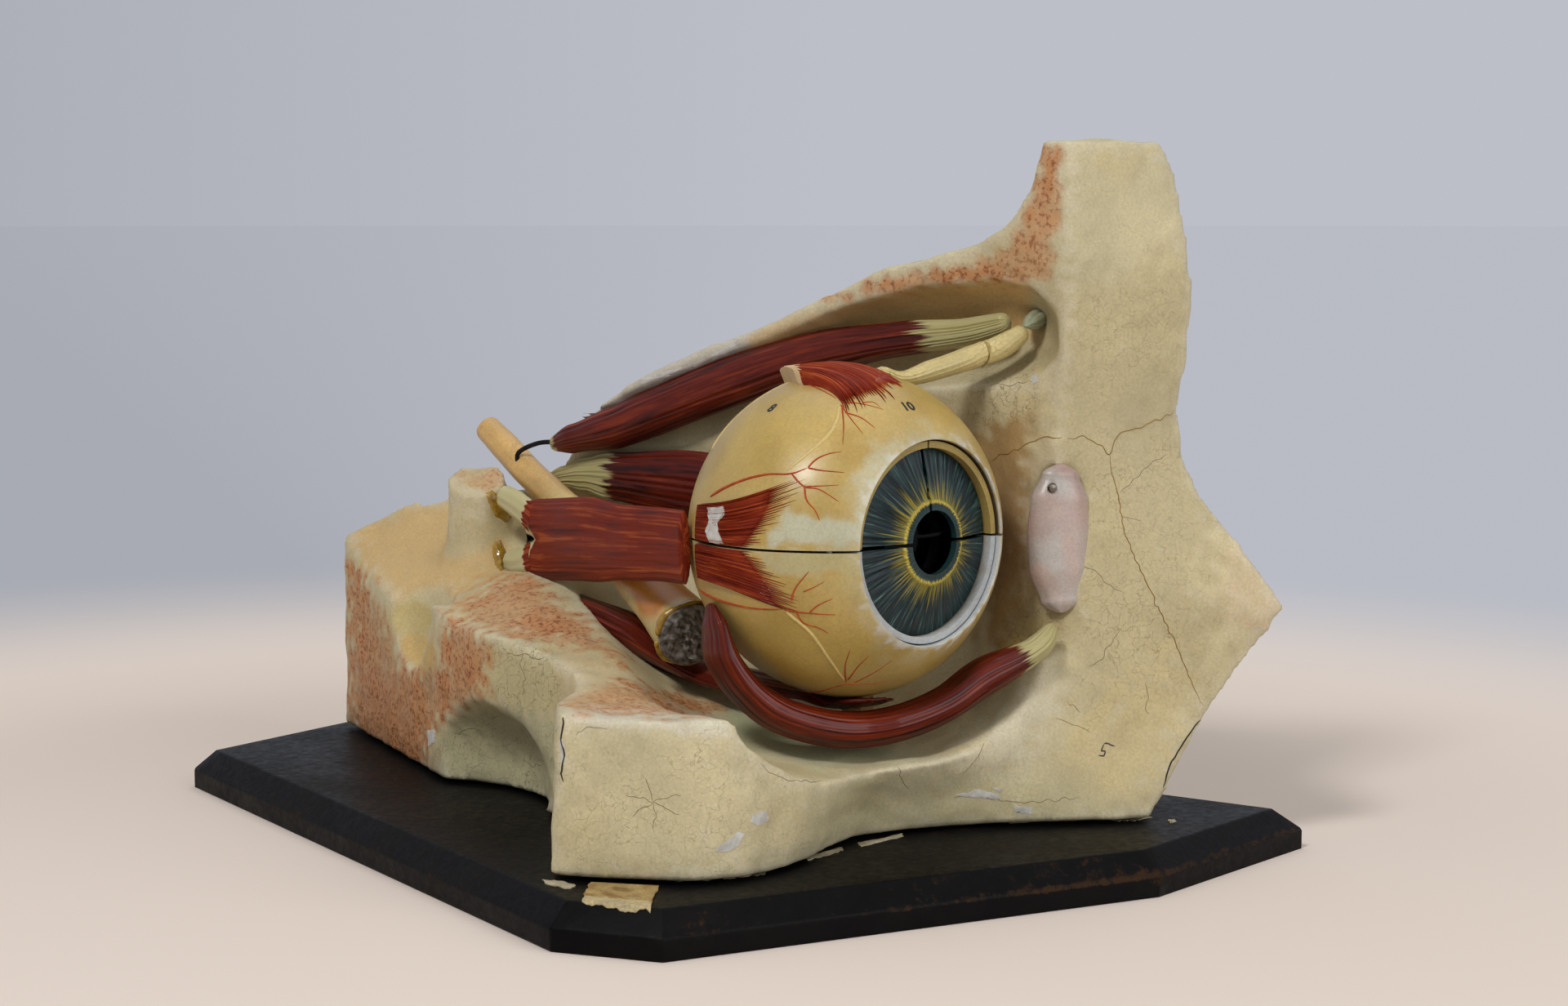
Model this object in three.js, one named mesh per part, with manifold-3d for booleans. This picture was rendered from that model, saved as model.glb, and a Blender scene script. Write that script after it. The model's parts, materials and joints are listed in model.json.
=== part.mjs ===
// Teaching model of the eye in its socket, five times life size: a painted plaster casting of the
// socket on an ebonised board, with the eye muscles, the optic nerve and a globe that comes apart.
// Millimetres, +Z up. The face looks towards -Y, the nose is at +X, the cut-away temple at -X.
// Inside the model, x and y are measured from the vertical line through the globe's centre and z
// from the table; the finished group is shifted so that its origin is the middle of the underside.
import * as THREE from 'three';
import { mergeVertices } from 'three/addons/utils/BufferGeometryUtils.js';
import Module from 'manifold-3d';

const wasm = await Module();
wasm.setup();

// Clearances
const SEAT_GAP = 0.3; // between pieces that rest on or are glued to each other
const SEAM_GAP = 0.9; // the open joint between the halves of the globe
const LIFT_GAP = 1; // between nested shells that lift out of each other
const HOLE_GAP = 0.3; // round screws, pins, nails and wire, on the radius

// Board
const BOARD_THICKNESS = 16;
const BOARD_BEVEL = 8;
const BOARD_OUTLINE = [[129, -123], [129, 313], [-30, 313], [-35, 302], [-154, 18], [-144, -21], [28, -114]];
const LABEL_INNER = [[-123.2, 25.2], [-113.8, 2.9]]; // corners of the label beside the casting
const LABEL_OUTER = [[-145.3, 11.5], [-140.4, -13]]; // corners of the label on the bevel
const LABEL_THICKNESS = 0.4;
const SCREW_SHANK_RADIUS = 2.2;
const SCREW_HEAD_RADIUS = 5;
const SCREW_LENGTH = 34;
const SCREW_PLACES = [[-78, 12], [66, -34], [84, 226], [26, 190]];

// Globe
const GLOBE_RADIUS = 60;
const FRONT_FLATTENING = 8; // the front half is this much shallower than a sphere
const GLOBE_HEIGHT = 126;
const GAZE_ANGLE = 11; // degrees that the eye looks towards the temple
const SCLERA_WALL = 5;
const CHOROID_WALL = 4;
const APERTURE_RADIUS = 37; // opening in the front of the sclera
const COLLAR_WALL = 2.4; // front collar of the choroid, which shows round the iris
const COLLAR_RECESS = 2.6; // collar behind the edge of the opening
const IRIS_THICKNESS = 2.6;
const IRIS_RECESS = 6; // rim of the iris behind the edge of the opening
const IRIS_RISE = 5; // the iris stands forward towards the pupil
const PUPIL_RADIUS = 11.6;
const PUPIL_OFFSET = 2; // towards the nose
const LENS_RADIUS = 22;
const LENS_FRONT_BULGE = 4;
const LENS_BACK_BULGE = 8;
const PIN_RADIUS = 1.2;
const PIN_LENGTH = 9;
const PIN_LONGITUDES = [100, 205, 335];
const PEG_RADIUS = 6;
const PEG_PLACE = [14, 6];
const PEG_SOCKET = 3; // how far the peg enters the sclera
const PEG_ROOT = 14; // how far the peg enters the casting
const PEG_STANDING = 18; // its bare length between the casting and the globe
const GLOBE_SEGMENTS = 32; // facets round the shells
const MEASURED_GLOBE = [60, 126]; // radius and height of the globe that the paths below go with

// Muscles, as half widths and half thicknesses
const RECTUS_GAP = 0.8; // between the globe and a muscle that passes it
const INFERIOR_RECTUS_HALF = [12, 2];
const INFERIOR_OBLIQUE_HALF = [9.5, 6.6];
const MEDIAL_RECTUS_HALF = [14, 3.6];
const LATERAL_RECTUS_HALF = [16.5, 3.6];
const PAD_THICKNESS = 1.8;
const STUMP_THICKNESS = 6.5;
const TENDON_HALF = [5, 4];
const WIRE_RADIUS = 1;

// Socket casting
const MEDIAN_X = 115; // flat face where the skull is cut through the middle
const CAST_BACK_Y = 298;
const ROOF_EDGE_X = 65; // plane in which the roof of the socket is cut
const POST_RISE = 145; // top of the forehead post above the middle of the globe
const NERVE_RADIUS = 6.3;
const NERVE_HEAD_RADIUS = 12.5;

const CAST_FOOT = BOARD_THICKNESS + SEAT_GAP;
const POST_TOP = GLOBE_HEIGHT + POST_RISE;
const CENTRE = new THREE.Vector3(0, 0, GLOBE_HEIGHT);
const GROWTH = GLOBE_RADIUS / MEASURED_GLOBE[0];
const RISE = GLOBE_HEIGHT - MEASURED_GLOBE[1];
const GAZE = THREE.MathUtils.degToRad(GAZE_ANGLE);
const LINE_OF_SIGHT = new THREE.Vector3(-Math.sin(GAZE), -Math.cos(GAZE), 0);

// Geometry helpers

// Carries a measured point along when the globe is made larger or set higher.
function follow([x, y, z]) {
  return [x * GROWTH, y * GROWTH, GLOBE_HEIGHT + (z - MEASURED_GLOBE[1]) * GROWTH];
}

function indexed(geometry) {
  geometry.deleteAttribute('normal');
  geometry.deleteAttribute('uv');
  const merged = mergeVertices(geometry);
  const source = merged.index.array;
  const kept = [];
  for (let i = 0; i < source.length; i += 3) {
    const [a, b, c] = [source[i], source[i + 1], source[i + 2]];
    if (a !== b && b !== c && c !== a) kept.push(a, b, c);
  }
  merged.setIndex(kept);
  return merged;
}

// A closed geometry as a solid for cutting and joining, turned outwards if it is inside out.
function solid(geometry) {
  const merged = indexed(geometry);
  const vertProperties = Float32Array.from(merged.attributes.position.array);
  const triVerts = Uint32Array.from(merged.index.array);
  if (signedVolume(vertProperties, triVerts) < 0) {
    for (let i = 0; i < triVerts.length; i += 3) {
      [triVerts[i], triVerts[i + 1]] = [triVerts[i + 1], triVerts[i]];
    }
  }
  return new wasm.Manifold(new wasm.Mesh({ numProp: 3, vertProperties, triVerts }));
}

function signedVolume(positions, triangles) {
  const [a, b, c] = [new THREE.Vector3(), new THREE.Vector3(), new THREE.Vector3()];
  let volume = 0;
  for (let i = 0; i < triangles.length; i += 3) {
    a.fromArray(positions, triangles[i] * 3);
    b.fromArray(positions, triangles[i + 1] * 3);
    c.fromArray(positions, triangles[i + 2] * 3);
    volume += a.dot(b.cross(c)) / 6;
  }
  return volume;
}

function geometryOf(body) {
  const mesh = body.getMesh();
  const geometry = new THREE.BufferGeometry();
  geometry.setAttribute('position', new THREE.BufferAttribute(Float32Array.from(mesh.vertProperties), 3));
  geometry.setIndex(new THREE.BufferAttribute(Uint32Array.from(mesh.triVerts), 1));
  geometry.computeVertexNormals();
  return geometry;
}

// Skin over rings of equally many points, closed by flat caps.
function loft(rings) {
  const sides = rings[0].length;
  const positions = rings.flat().flatMap((point) => point.toArray());
  const index = [];
  for (let ring = 0; ring + 1 < rings.length; ring++) {
    for (let side = 0; side < sides; side++) {
      const [a, b] = [ring * sides + side, ring * sides + (side + 1) % sides];
      index.push(a, b, b + sides, a, b + sides, a + sides);
    }
  }
  cap(rings[0], 0, true, index);
  cap(rings[rings.length - 1], (rings.length - 1) * sides, false, index);
  const geometry = new THREE.BufferGeometry();
  geometry.setAttribute('position', new THREE.Float32BufferAttribute(positions, 3));
  geometry.setIndex(index);
  return geometry;
}

function cap(ring, offset, reversed, index) {
  const normal = new THREE.Vector3();
  ring.forEach((point, i) => normal.add(point.clone().cross(ring[(i + 1) % ring.length])));
  normal.normalize();
  const across = ring[1].clone().sub(ring[0]).normalize();
  const up = normal.clone().cross(across);
  const flat = ring.map((point) => new THREE.Vector2(point.dot(across), point.dot(up)));
  for (const [a, b, c] of THREE.ShapeUtils.triangulateShape(flat, [])) {
    if (reversed) index.push(offset + a, offset + c, offset + b);
    else index.push(offset + a, offset + b, offset + c);
  }
}

// Oval tube along a smooth curve. Each stop is [point, half width, half thickness]; a measured point
// follows the globe, a vector stays. Facing gives the direction of the thickness at a point.
function sweep(stops, facing, { steps = 14, sides = 12, grow = 0 } = {}) {
  const curve = new THREE.CatmullRomCurve3(stops.map(([point]) => (
    point.isVector3 ? point : new THREE.Vector3(...follow(point)))));
  const rings = [];
  for (let step = 0; step <= steps; step++) {
    const t = step / steps;
    const along = t * (stops.length - 1);
    const from = Math.min(Math.floor(along), stops.length - 2);
    const blend = THREE.MathUtils.smoothstep(along - from, 0, 1);
    const width = THREE.MathUtils.lerp(stops[from][1], stops[from + 1][1], blend) + grow;
    const thickness = THREE.MathUtils.lerp(stops[from][2], stops[from + 1][2], blend) + grow;
    const centre = curve.getPoint(t);
    const tangent = curve.getTangent(t);
    const side = tangent.clone().cross(facing(centre)).normalize();
    const out = side.clone().cross(tangent).normalize();
    if (grow && step === 0) centre.addScaledVector(tangent, -grow);
    if (grow && step === steps) centre.addScaledVector(tangent, grow);
    rings.push(oval(centre, side, out, width, thickness, sides));
  }
  return loft(rings);
}

function oval(centre, side, out, width, thickness, sides) {
  const ring = [];
  for (let i = 0; i < sides; i++) {
    const angle = (i / sides) * Math.PI * 2;
    ring.push(centre.clone()
      .addScaledVector(side, width * Math.cos(angle))
      .addScaledVector(out, thickness * Math.sin(angle)));
  }
  return ring;
}

const upwards = () => new THREE.Vector3(0, 0, 1);
const sideways = () => new THREE.Vector3(-0.86, 0.5, 0);
const fromGlobe = (point) => point.clone().sub(CENTRE).normalize();

// Distance of the globe's surface from its centre in a direction.
function globeReach(direction) {
  const forward = direction.dot(LINE_OF_SIGHT);
  if (forward < 0) return GLOBE_RADIUS;
  const depth = GLOBE_RADIUS - FRONT_FLATTENING;
  return 1 / Math.sqrt((1 - forward ** 2) / GLOBE_RADIUS ** 2 + forward ** 2 / depth ** 2);
}

function place(direction, above) {
  return CENTRE.clone().addScaledVector(direction, globeReach(direction) + above);
}

// Direction of a longitude and latitude of the globe, in degrees.
function bearing(longitude, latitude) {
  const [lon, lat] = [longitude, latitude].map(THREE.MathUtils.degToRad);
  return new THREE.Vector3(Math.cos(lat) * Math.cos(lon), Math.cos(lat) * Math.sin(lon), Math.sin(lat));
}

const onGlobe = (longitude, latitude, above = 0) => place(bearing(longitude, latitude), above);

function block(x0, x1, y0, y1, z0, z1) {
  const geometry = new THREE.BoxGeometry(x1 - x0, y1 - y0, z1 - z0);
  return geometry.translate((x0 + x1) / 2, (y0 + y1) / 2, (z0 + z1) / 2);
}

function ball(x, y, z, rx, ry, rz, turn = 0) {
  return new THREE.SphereGeometry(1, 20, 12).scale(rx, ry, rz).rotateZ(turn).translate(x, y, z);
}

function rod(x, y, z0, z1, radius, sides = 16) {
  const geometry = new THREE.CylinderGeometry(radius, radius, z1 - z0, sides);
  return geometry.rotateX(Math.PI / 2).translate(x, y, (z0 + z1) / 2);
}

// Board

function insetOutline(points, inset) {
  return points.map((point, i) => {
    const before = points[(i + points.length - 1) % points.length];
    const after = points[(i + 1) % points.length];
    const [p, a, b] = [point, before, after].map((q) => new THREE.Vector2(...q));
    const [first, second] = [p.clone().sub(a).normalize(), b.clone().sub(p).normalize()];
    const [n1, n2] = [first, second].map((d) => new THREE.Vector2(-d.y, d.x));
    const scale = inset / (1 + n1.dot(n2));
    return [p.x + (n1.x + n2.x) * scale, p.y + (n1.y + n2.y) * scale];
  });
}

function boardGeometry() {
  const edge = BOARD_THICKNESS - BOARD_BEVEL;
  const inner = insetOutline(BOARD_OUTLINE, BOARD_BEVEL);
  const rings = [
    BOARD_OUTLINE.map(([x, y]) => new THREE.Vector3(x, y, 0)),
    BOARD_OUTLINE.map(([x, y]) => new THREE.Vector3(x, y, edge)),
    inner.map(([x, y]) => new THREE.Vector3(x, y, BOARD_THICKNESS)),
  ];
  let board = solid(loft(rings));
  for (const [x, y] of SCREW_PLACES) board = board.subtract(solid(screwGeometry(x, y, HOLE_GAP)));
  return geometryOf(board);
}

// Countersunk wood screw from below; grown by a clearance it is also its own hole.
function screwGeometry(x, y, grow = 0) {
  const [shank, head] = [SCREW_SHANK_RADIUS + grow, SCREW_HEAD_RADIUS + grow];
  const sink = grow ? -1 : 0.6;
  const cone = SCREW_HEAD_RADIUS - SCREW_SHANK_RADIUS;
  const tip = SCREW_LENGTH + grow;
  const profile = [[0, sink], [head, sink], [head, 1.2], [shank, 1.2 + cone], [shank, tip - 5], [0, tip]];
  const lathe = new THREE.LatheGeometry(profile.map(([r, h]) => new THREE.Vector2(r, h)), 12);
  return lathe.rotateX(Math.PI / 2).translate(x, y, 0);
}

// Socket casting. The outline of the block in plan, station by station round it; each station is
// a list of [z, x, y], and goes straight between them.

const RIDGE = [[16, 71, -88], [40, 88, -94], [65, 100, -104], [81, 108, -115], [96, 113, -122.5],
  [104, 112, -115], [115, 112, -106], [135, 112, -87], [148, 112, -79], [165, 112, -76.5],
  [188, 112, -80], [210, 112, -82], [234, 112, -79], [256, 112, -74], [POST_TOP, 112, -67]];
const MEDIAN = [[16, MEDIAN_X, -60], [40, MEDIAN_X, -68], [65, MEDIAN_X, -84], [85, MEDIAN_X, -106],
  ...RIDGE.filter(([z]) => z > 90).map(([z, , y]) => [z, MEDIAN_X, y])];

const STATIONS = [
  { corner: true, path: [[16, MEDIAN_X, CAST_BACK_Y]] },
  { corner: true, path: [[16, 46, CAST_BACK_Y]] },
  { corner: true, path: [[16, -26, 176], [95, -22, 178]] },
  { path: [[16, -40, 146]] },
  { path: [[16, -48, 112]] },
  { path: [[16, -58, 86]] },
  { path: [[16, -80, 67]] },
  { path: [[16, -106, 54]] },
  { corner: true, path: [[16, -128, 41], [75, -125, 37]] },
  { path: [[16, -107.5, -7], [75, -95, -10]] },
  { path: [[16, -75, -21], [57, -74, -19]] },
  { path: [[16, -45, -18], [48, -47, -24]] },
  { path: [[16, -16, -15], [30, -18, -15], [46, -22, -27]] },
  { path: [[16, 18, -34], [30, 14, -33], [48, 10, -42]] },
  { path: [[16, 46, -62], [40, 42, -54], [76, 54, -55], [96, 57, -51], [150, 57, -45],
    [185, 61, -50], [216, ROOF_EDGE_X, -54], [POST_TOP, ROOF_EDGE_X, -54]] },
  { path: [[16, 58, -77], [40, 66, -76], [76, 82, -82], [96, 86, -88], [115, 83, -76], [135, 84, -67],
    [160, 86, -62], [190, 88, -67], [216, 90, -70], [POST_TOP, 90, -64]] },
  { corner: true, path: RIDGE },
  { corner: true, path: MEDIAN },
];
const LEVELS = [CAST_FOOT, 30, 44, 58, 70, 82, 92, 96, 106, 118, 136, 150, 168, 188, 210, 234, 256,
  POST_TOP];

function stationAt(path, z) {
  const next = path.findIndex(([height]) => height >= z);
  if (next === 0) return new THREE.Vector3(path[0][1], path[0][2], z);
  if (next < 0) return new THREE.Vector3(path[path.length - 1][1], path[path.length - 1][2], z);
  const [low, high] = [path[next - 1], path[next]];
  const t = (z - low[0]) / (high[0] - low[0]);
  return new THREE.Vector3(
    THREE.MathUtils.lerp(low[1], high[1], t), THREE.MathUtils.lerp(low[2], high[2], t), z);
}

// Smooth closed ring through the stations, which breaks its curve at the corners.
function outlineRing(z) {
  const points = STATIONS.map(({ path }) => stationAt(path, z));
  const count = points.length;
  const ring = [];
  for (let i = 0; i < count; i++) {
    const j = (i + 1) % count;
    ring.push(points[i]);
    if (STATIONS[i].corner && STATIONS[j].corner) continue;
    const before = STATIONS[i].corner ? points[i] : points[(i + count - 1) % count];
    const after = STATIONS[j].corner ? points[j] : points[(j + 1) % count];
    const span = new THREE.CatmullRomCurve3([before, points[i], points[j], after], false, 'catmullrom', 0.5);
    ring.push(span.getPoint(0.5));
  }
  return ring;
}

// Profile of the middle wall from the side, as [y, z]: roof ridge, saddle and back.
const RIDGE_PROFILE = [[-41, 271], [-36, 252], [-27, 240], [-12, 231], [10, 226.5], [30, 222], [62, 208],
  [88, 197], [98, 194.5], [139, 178], [160, 167], [176, 158], [184, 144], [194, 128], [214, 124], [244, 119]];
const WALL_PROFILE = [[-160, 0], [-160, POST_TOP + 60], [RIDGE_PROFILE[0][0] * GROWTH, POST_TOP + 60],
  ...RIDGE_PROFILE.map(([y, z]) => follow([0, y, z]).slice(1)),
  [CAST_BACK_Y + 5, 101 + RISE], [CAST_BACK_Y + 5, 0]];
// Lateral edge of the middle wall in plan.
const WALL_PLAN = [[ROOF_EDGE_X, -140], [ROOF_EDGE_X, 62], [60, 120], [51, 190], [50, 215], [52, 250],
  [46, CAST_BACK_Y + 2], [MEDIAN_X + 5, CAST_BACK_Y + 2], [MEDIAN_X + 5, -140]];

// Cut surface of the temple side: cross sections [y, [x, z], ...] from the front to the back.
const TEMPLE_TOPS = [
  [-140, [-140, 72], [-60, 72], [10, 72], [80, 84]],
  [0, [-140, 74], [-60, 71], [10, 71], [80, 84]],
  [45, [-140, 76], [-60, 70], [0, 73], [80, 84]],
  [92, [-140, 79], [-38, 76], [0, 82], [80, 96]],
  [130, [-100, 82], [-32, 82], [16, 92], [80, 106]],
  [166, [-60, 80], [-22, 83], [22, 97], [80, 116]],
  [196, [-40, 84], [12, 89], [34, 98], [80, 124]],
  [240, [-20, 74], [8, 79], [33, 95], [56, 122]],
  [268, [-20, 84], [30, 90], [40, 100], [58, 118]],
  [CAST_BACK_Y + 4, [-20, 95], [40, 96], [47, 101], [60, 103]],
];

// Hollow of the socket: [y, centre x, centre z, reach to the temple, reach to the nose, half height,
// squareness of the section].
const SOCKET_SECTIONS = [
  [-140, -30, 130, 75, 89, 86, 3], [-46, -30, 130, 75, 89, 86, 3], [-15, -20, 130, 84, 93, 86, 2.8],
  [20, -14, 130, 88, 90, 82, 2.5], [50, -8, 130, 82, 83, 75, 2.2], [90, 10, 130, 65, 65, 62, 2],
  [130, 29, 130, 44, 44, 46, 2], [170, 44, 128, 26, 26, 32, 2], [194, 50, 126, 16, 16, 22, 2],
  [203, 52, 126, 10, 10, 12, 2]];
// Channel under the roof, in which the superior oblique lies.
const ROOF_SECTIONS = [
  [-48, 64, 198, 8, 8, 9, 2], [-38, 64, 198, 16, 16, 16, 2], [-22, 65, 198, 19, 19, 19, 2],
  [5, 66, 196, 20, 20, 19, 2], [35, 66, 190, 20, 20, 19, 2], [54, 65, 184, 19, 19, 19, 2],
  [80, 63, 175, 18, 18, 18, 2], [120, 60, 163, 16, 16, 16, 2], [160, 57, 151, 13, 13, 12.5, 2],
  [186, 55, 146, 10, 10, 9, 2], [215, 55, 146, 10, 10, 9, 2]];

// Bore through upright sections of rounded outline.
function tunnel(sections, sides) {
  const rings = sections.map(([y, x, z, left, right, halfHeight, squareness]) => Array.from(
    { length: sides }, (_, i) => {
      const angle = (i / sides) * Math.PI * 2;
      const [across, up] = [Math.cos(angle), Math.sin(angle)];
      const round = (value) => Math.sign(value) * Math.abs(value) ** (2 / squareness);
      const reach = across > 0 ? right : left;
      return new THREE.Vector3(...follow([x + reach * round(across), y, z + halfHeight * round(up)]));
    }));
  return solid(loft(rings));
}

function prismAlongX(profile, x0, x1) {
  return solid(loft([x0, x1].map((x) => profile.map(([y, z]) => new THREE.Vector3(x, y, z)))));
}

function prismAlongZ(outline, z0, z1) {
  return solid(loft([z0, z1].map((z) => outline.map(([x, y]) => new THREE.Vector3(x, y, z)))));
}

function templeBody() {
  const rings = TEMPLE_TOPS.map(([y, ...tops]) => [
    ...tops.map(([x, z]) => new THREE.Vector3(x, y, z + RISE)),
    new THREE.Vector3(tops[tops.length - 1][0], y, 0), new THREE.Vector3(tops[0][0], y, 0)]);
  return solid(loft(rings));
}

// Stump of the temple wall behind the socket, which holds the two heads of the lateral rectus.
const STUMP_PLACE = [40, 214];
const STUMP_RINGS = [[76, 24], [90, 18.5], [100, 14.8], [112, 13], [121, 13], [132, 13.2]];
const STUMP_TILT = 0.55; // slope of its cut top, down towards the temple

function stumpBody() {
  const [cx, cy] = STUMP_PLACE;
  const lean = new THREE.Vector2(0.824, 0.566);
  const rings = STUMP_RINGS.map(([z, radius], level) => {
    const tilt = level === STUMP_RINGS.length - 1 ? STUMP_TILT : 0;
    return Array.from({ length: 16 }, (_, i) => {
      const angle = (i / 16) * Math.PI * 2;
      const [dx, dy] = [radius * 0.86 * Math.cos(angle), radius * Math.sin(angle)];
      const [x, y] = [cx + dx * lean.x - dy * lean.y, cy + dx * lean.y + dy * lean.x];
      return new THREE.Vector3(...follow([x, y, z + tilt * dx]));
    });
  });
  return solid(loft(rings));
}

const PITS = [
  [4, 216, 86, 26, 13, 30, 1.04], // sinus opened in the side of the back block
  [-43.6, 145.6, 28, 44, 24, 26, 1.25], // round hollow of the temple behind the cheek block
];

function castingBody() {
  const outer = solid(loft(LEVELS.map(outlineRing)));
  const wall = prismAlongZ(WALL_PLAN, 0, 300).intersect(prismAlongX(WALL_PROFILE, 0, MEDIAN_X + 10));
  const bounds = wall.add(templeBody());
  let casting = outer.intersect(bounds);
  casting = casting.subtract(tunnel(SOCKET_SECTIONS, 32)).subtract(tunnel(ROOF_SECTIONS, 20));
  for (const pit of PITS) casting = casting.subtract(solid(ball(...pit)));
  casting = casting.add(stumpBody().subtract(solid(block(-99, 99, -99, 400, -9, CAST_FOOT))));
  return casting;
}

// Muscles, nerve and what holds them

const rectusUnder = RECTUS_GAP + INFERIOR_RECTUS_HALF[1];
const obliqueUnder = 2 * RECTUS_GAP + 2 * INFERIOR_RECTUS_HALF[1] + INFERIOR_OBLIQUE_HALF[1];

const soft = {
  optic_nerve: (grow = 0) => sweep([
    [[68, 232, 150.5], NERVE_RADIUS - 0.6, NERVE_RADIUS - 0.6],
    [[62, 215, 142], NERVE_RADIUS, NERVE_RADIUS],
    [[56, 200, 134.5], NERVE_RADIUS, NERVE_RADIUS],
    [[46, 176, 125], NERVE_RADIUS, NERVE_RADIUS],
    [[24, 132, 110], NERVE_RADIUS + 1.5, NERVE_RADIUS + 1.5],
    [[0, 90, 96], NERVE_RADIUS + 4, NERVE_RADIUS + 4],
    [[-19.5, 59, 85.5], NERVE_HEAD_RADIUS, NERVE_HEAD_RADIUS]], upwards, { steps: 14, grow }),
  superior_oblique: (grow = 0) => sweep([
    [[56.5, 187.5, 146], 2.6, 3], [[58, 176, 149], 6, 6], [[60, 155, 154.5], 8.4, 8.6],
    [[62, 138, 161], 9, 9.4], [[66, 99, 175.5], 9, 9.8], [[69, 62, 187], 7.8, 8.6],
    [[70.5, 24, 194], 6, 6.6], [[71.5, -8, 198], 5, 5], [[72, -25, 202], 4, 4]],
    upwards, { steps: 16, grow }),
  medial_rectus: (grow = 0) => sweep([
    [[66, 196, 129.5], 3, 2], [[64, 186, 132], 4.4, 2.4], [[63, 174, 133.5], 7, 3],
    [[63, 160, 133.5], 10, MEDIAL_RECTUS_HALF[1]],
    [[64.5, 118, 132], ...MEDIAL_RECTUS_HALF],
    [[66, 60, 129], MEDIAL_RECTUS_HALF[0] - 1, MEDIAL_RECTUS_HALF[1]],
    [[65, 8, 126], MEDIAL_RECTUS_HALF[0] - 1, MEDIAL_RECTUS_HALF[1] - 0.4]],
    () => new THREE.Vector3(1, 0, 0), { grow }),
  inferior_rectus: (grow = 0) => sweep([
    [[40, 184, 92], 4.5, 3.4], [[32, 170, 85.5], 8, 3.2], [[20, 140, 82], 11, 7],
    [[9, 106, 78], 12.5, 8], [[-1, 68, 69], INFERIOR_RECTUS_HALF[0], 4.4],
    [onGlobe(84, -74, rectusUnder + 0.6), ...INFERIOR_RECTUS_HALF],
    [onGlobe(200, -87, rectusUnder), INFERIOR_RECTUS_HALF[0], INFERIOR_RECTUS_HALF[1] - 0.6],
    [onGlobe(236, -74, rectusUnder - 0.8), INFERIOR_RECTUS_HALF[0], 1]],
    fromGlobe, { steps: 17, sides: 10, grow }),
  inferior_oblique: (grow = 0) => sweep([
    [[55.5, -54.5, 90], 3, 2.4], [[47, -52.5, 82.5], 6.5, 4.6], [onGlobe(305, -48, obliqueUnder + 2), 9, 7],
    [onGlobe(294, -61, obliqueUnder + 0.6), ...INFERIOR_OBLIQUE_HALF],
    [onGlobe(268, -72, obliqueUnder), ...INFERIOR_OBLIQUE_HALF],
    [onGlobe(223, -76, obliqueUnder), ...INFERIOR_OBLIQUE_HALF],
    [onGlobe(185, -70, obliqueUnder), ...INFERIOR_OBLIQUE_HALF],
    [onGlobe(165, -59, obliqueUnder), 9.5, INFERIOR_OBLIQUE_HALF[1] - 0.2],
    [onGlobe(158, -48, obliqueUnder - 1.4), 9.5, INFERIOR_OBLIQUE_HALF[1] - 1],
    [onGlobe(154, -37, 8.4), 9, 5.2], [onGlobe(152, -26, 4.4), 8.4, 3.2], [onGlobe(151, -19, 1.6), 7.6, 1.2]],
    fromGlobe, { steps: 20, grow }),
};

// Lateral rectus: a strap with two pale tendon heads, glued to the stump and to the globe.
const LATERAL_STOPS = [
  [[29, 178, 109.5], 15.5, 2.8], [[24, 166, 110.5], ...LATERAL_RECTUS_HALF],
  [[-2, 120, 116], ...LATERAL_RECTUS_HALF], [[-22, 86, 119], 14.2, 3.2],
  [[-38, 58, 121.8], 13.6, 2.8], [[-51.5, 37, 123.4], 13.4, 2.4]];

function lateralRectus(grow = 0) {
  const strap = solid(sweep(LATERAL_STOPS, sideways, { grow }));
  const heads = [[[37, 198, 126], [32, 184, 122], [26, 170, 117]],
    [[38, 195, 98], [32, 184, 99], [26, 170, 103]]];
  return heads.reduce((body, path) => body.add(solid(sweep(
    path.map((point, i) => [point, 5 + i, 4 - 0.6 * i]), sideways, { steps: 6, sides: 8, grow }))), strap);
}

function lateralRectusCut() {
  const [start, end] = LATERAL_STOPS.slice(-2).map(([point]) => new THREE.Vector3(...point));
  return { point: onGlobe(147, 0), along: end.sub(start).setZ(0).normalize() };
}

// Piece of strap or tendon painted on the globe: a curved patch between four corners, each
// [longitude, latitude] in the order back low, back high, front high and front low. It is thick at
// its back edge and thin where it spreads out in front.
function globePatch(places, backThickness, frontThickness, steps = 6, ringCount = 6) {
  const corners = places.map(([longitude, latitude]) => bearing(longitude, latitude));
  const rings = [];
  for (let i = 0; i <= steps; i++) {
    const t = i / steps;
    const low = corners[0].clone().lerp(corners[3], t);
    const high = corners[1].clone().lerp(corners[2], t);
    const thickness = THREE.MathUtils.lerp(backThickness, frontThickness, t);
    const [outer, inner] = [[], []];
    for (let k = 0; k < ringCount; k++) {
      const v = k / (ringCount - 1);
      const direction = low.clone().lerp(high, v).normalize();
      const crown = 0.35 + 0.65 * Math.sqrt(Math.max(0, 1 - (2 * v - 1) ** 2));
      outer.push(place(direction, SEAT_GAP + thickness * crown));
      inner.unshift(place(direction, SEAT_GAP));
    }
    rings.push([...outer, ...inner]);
  }
  return loft(rings);
}

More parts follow.
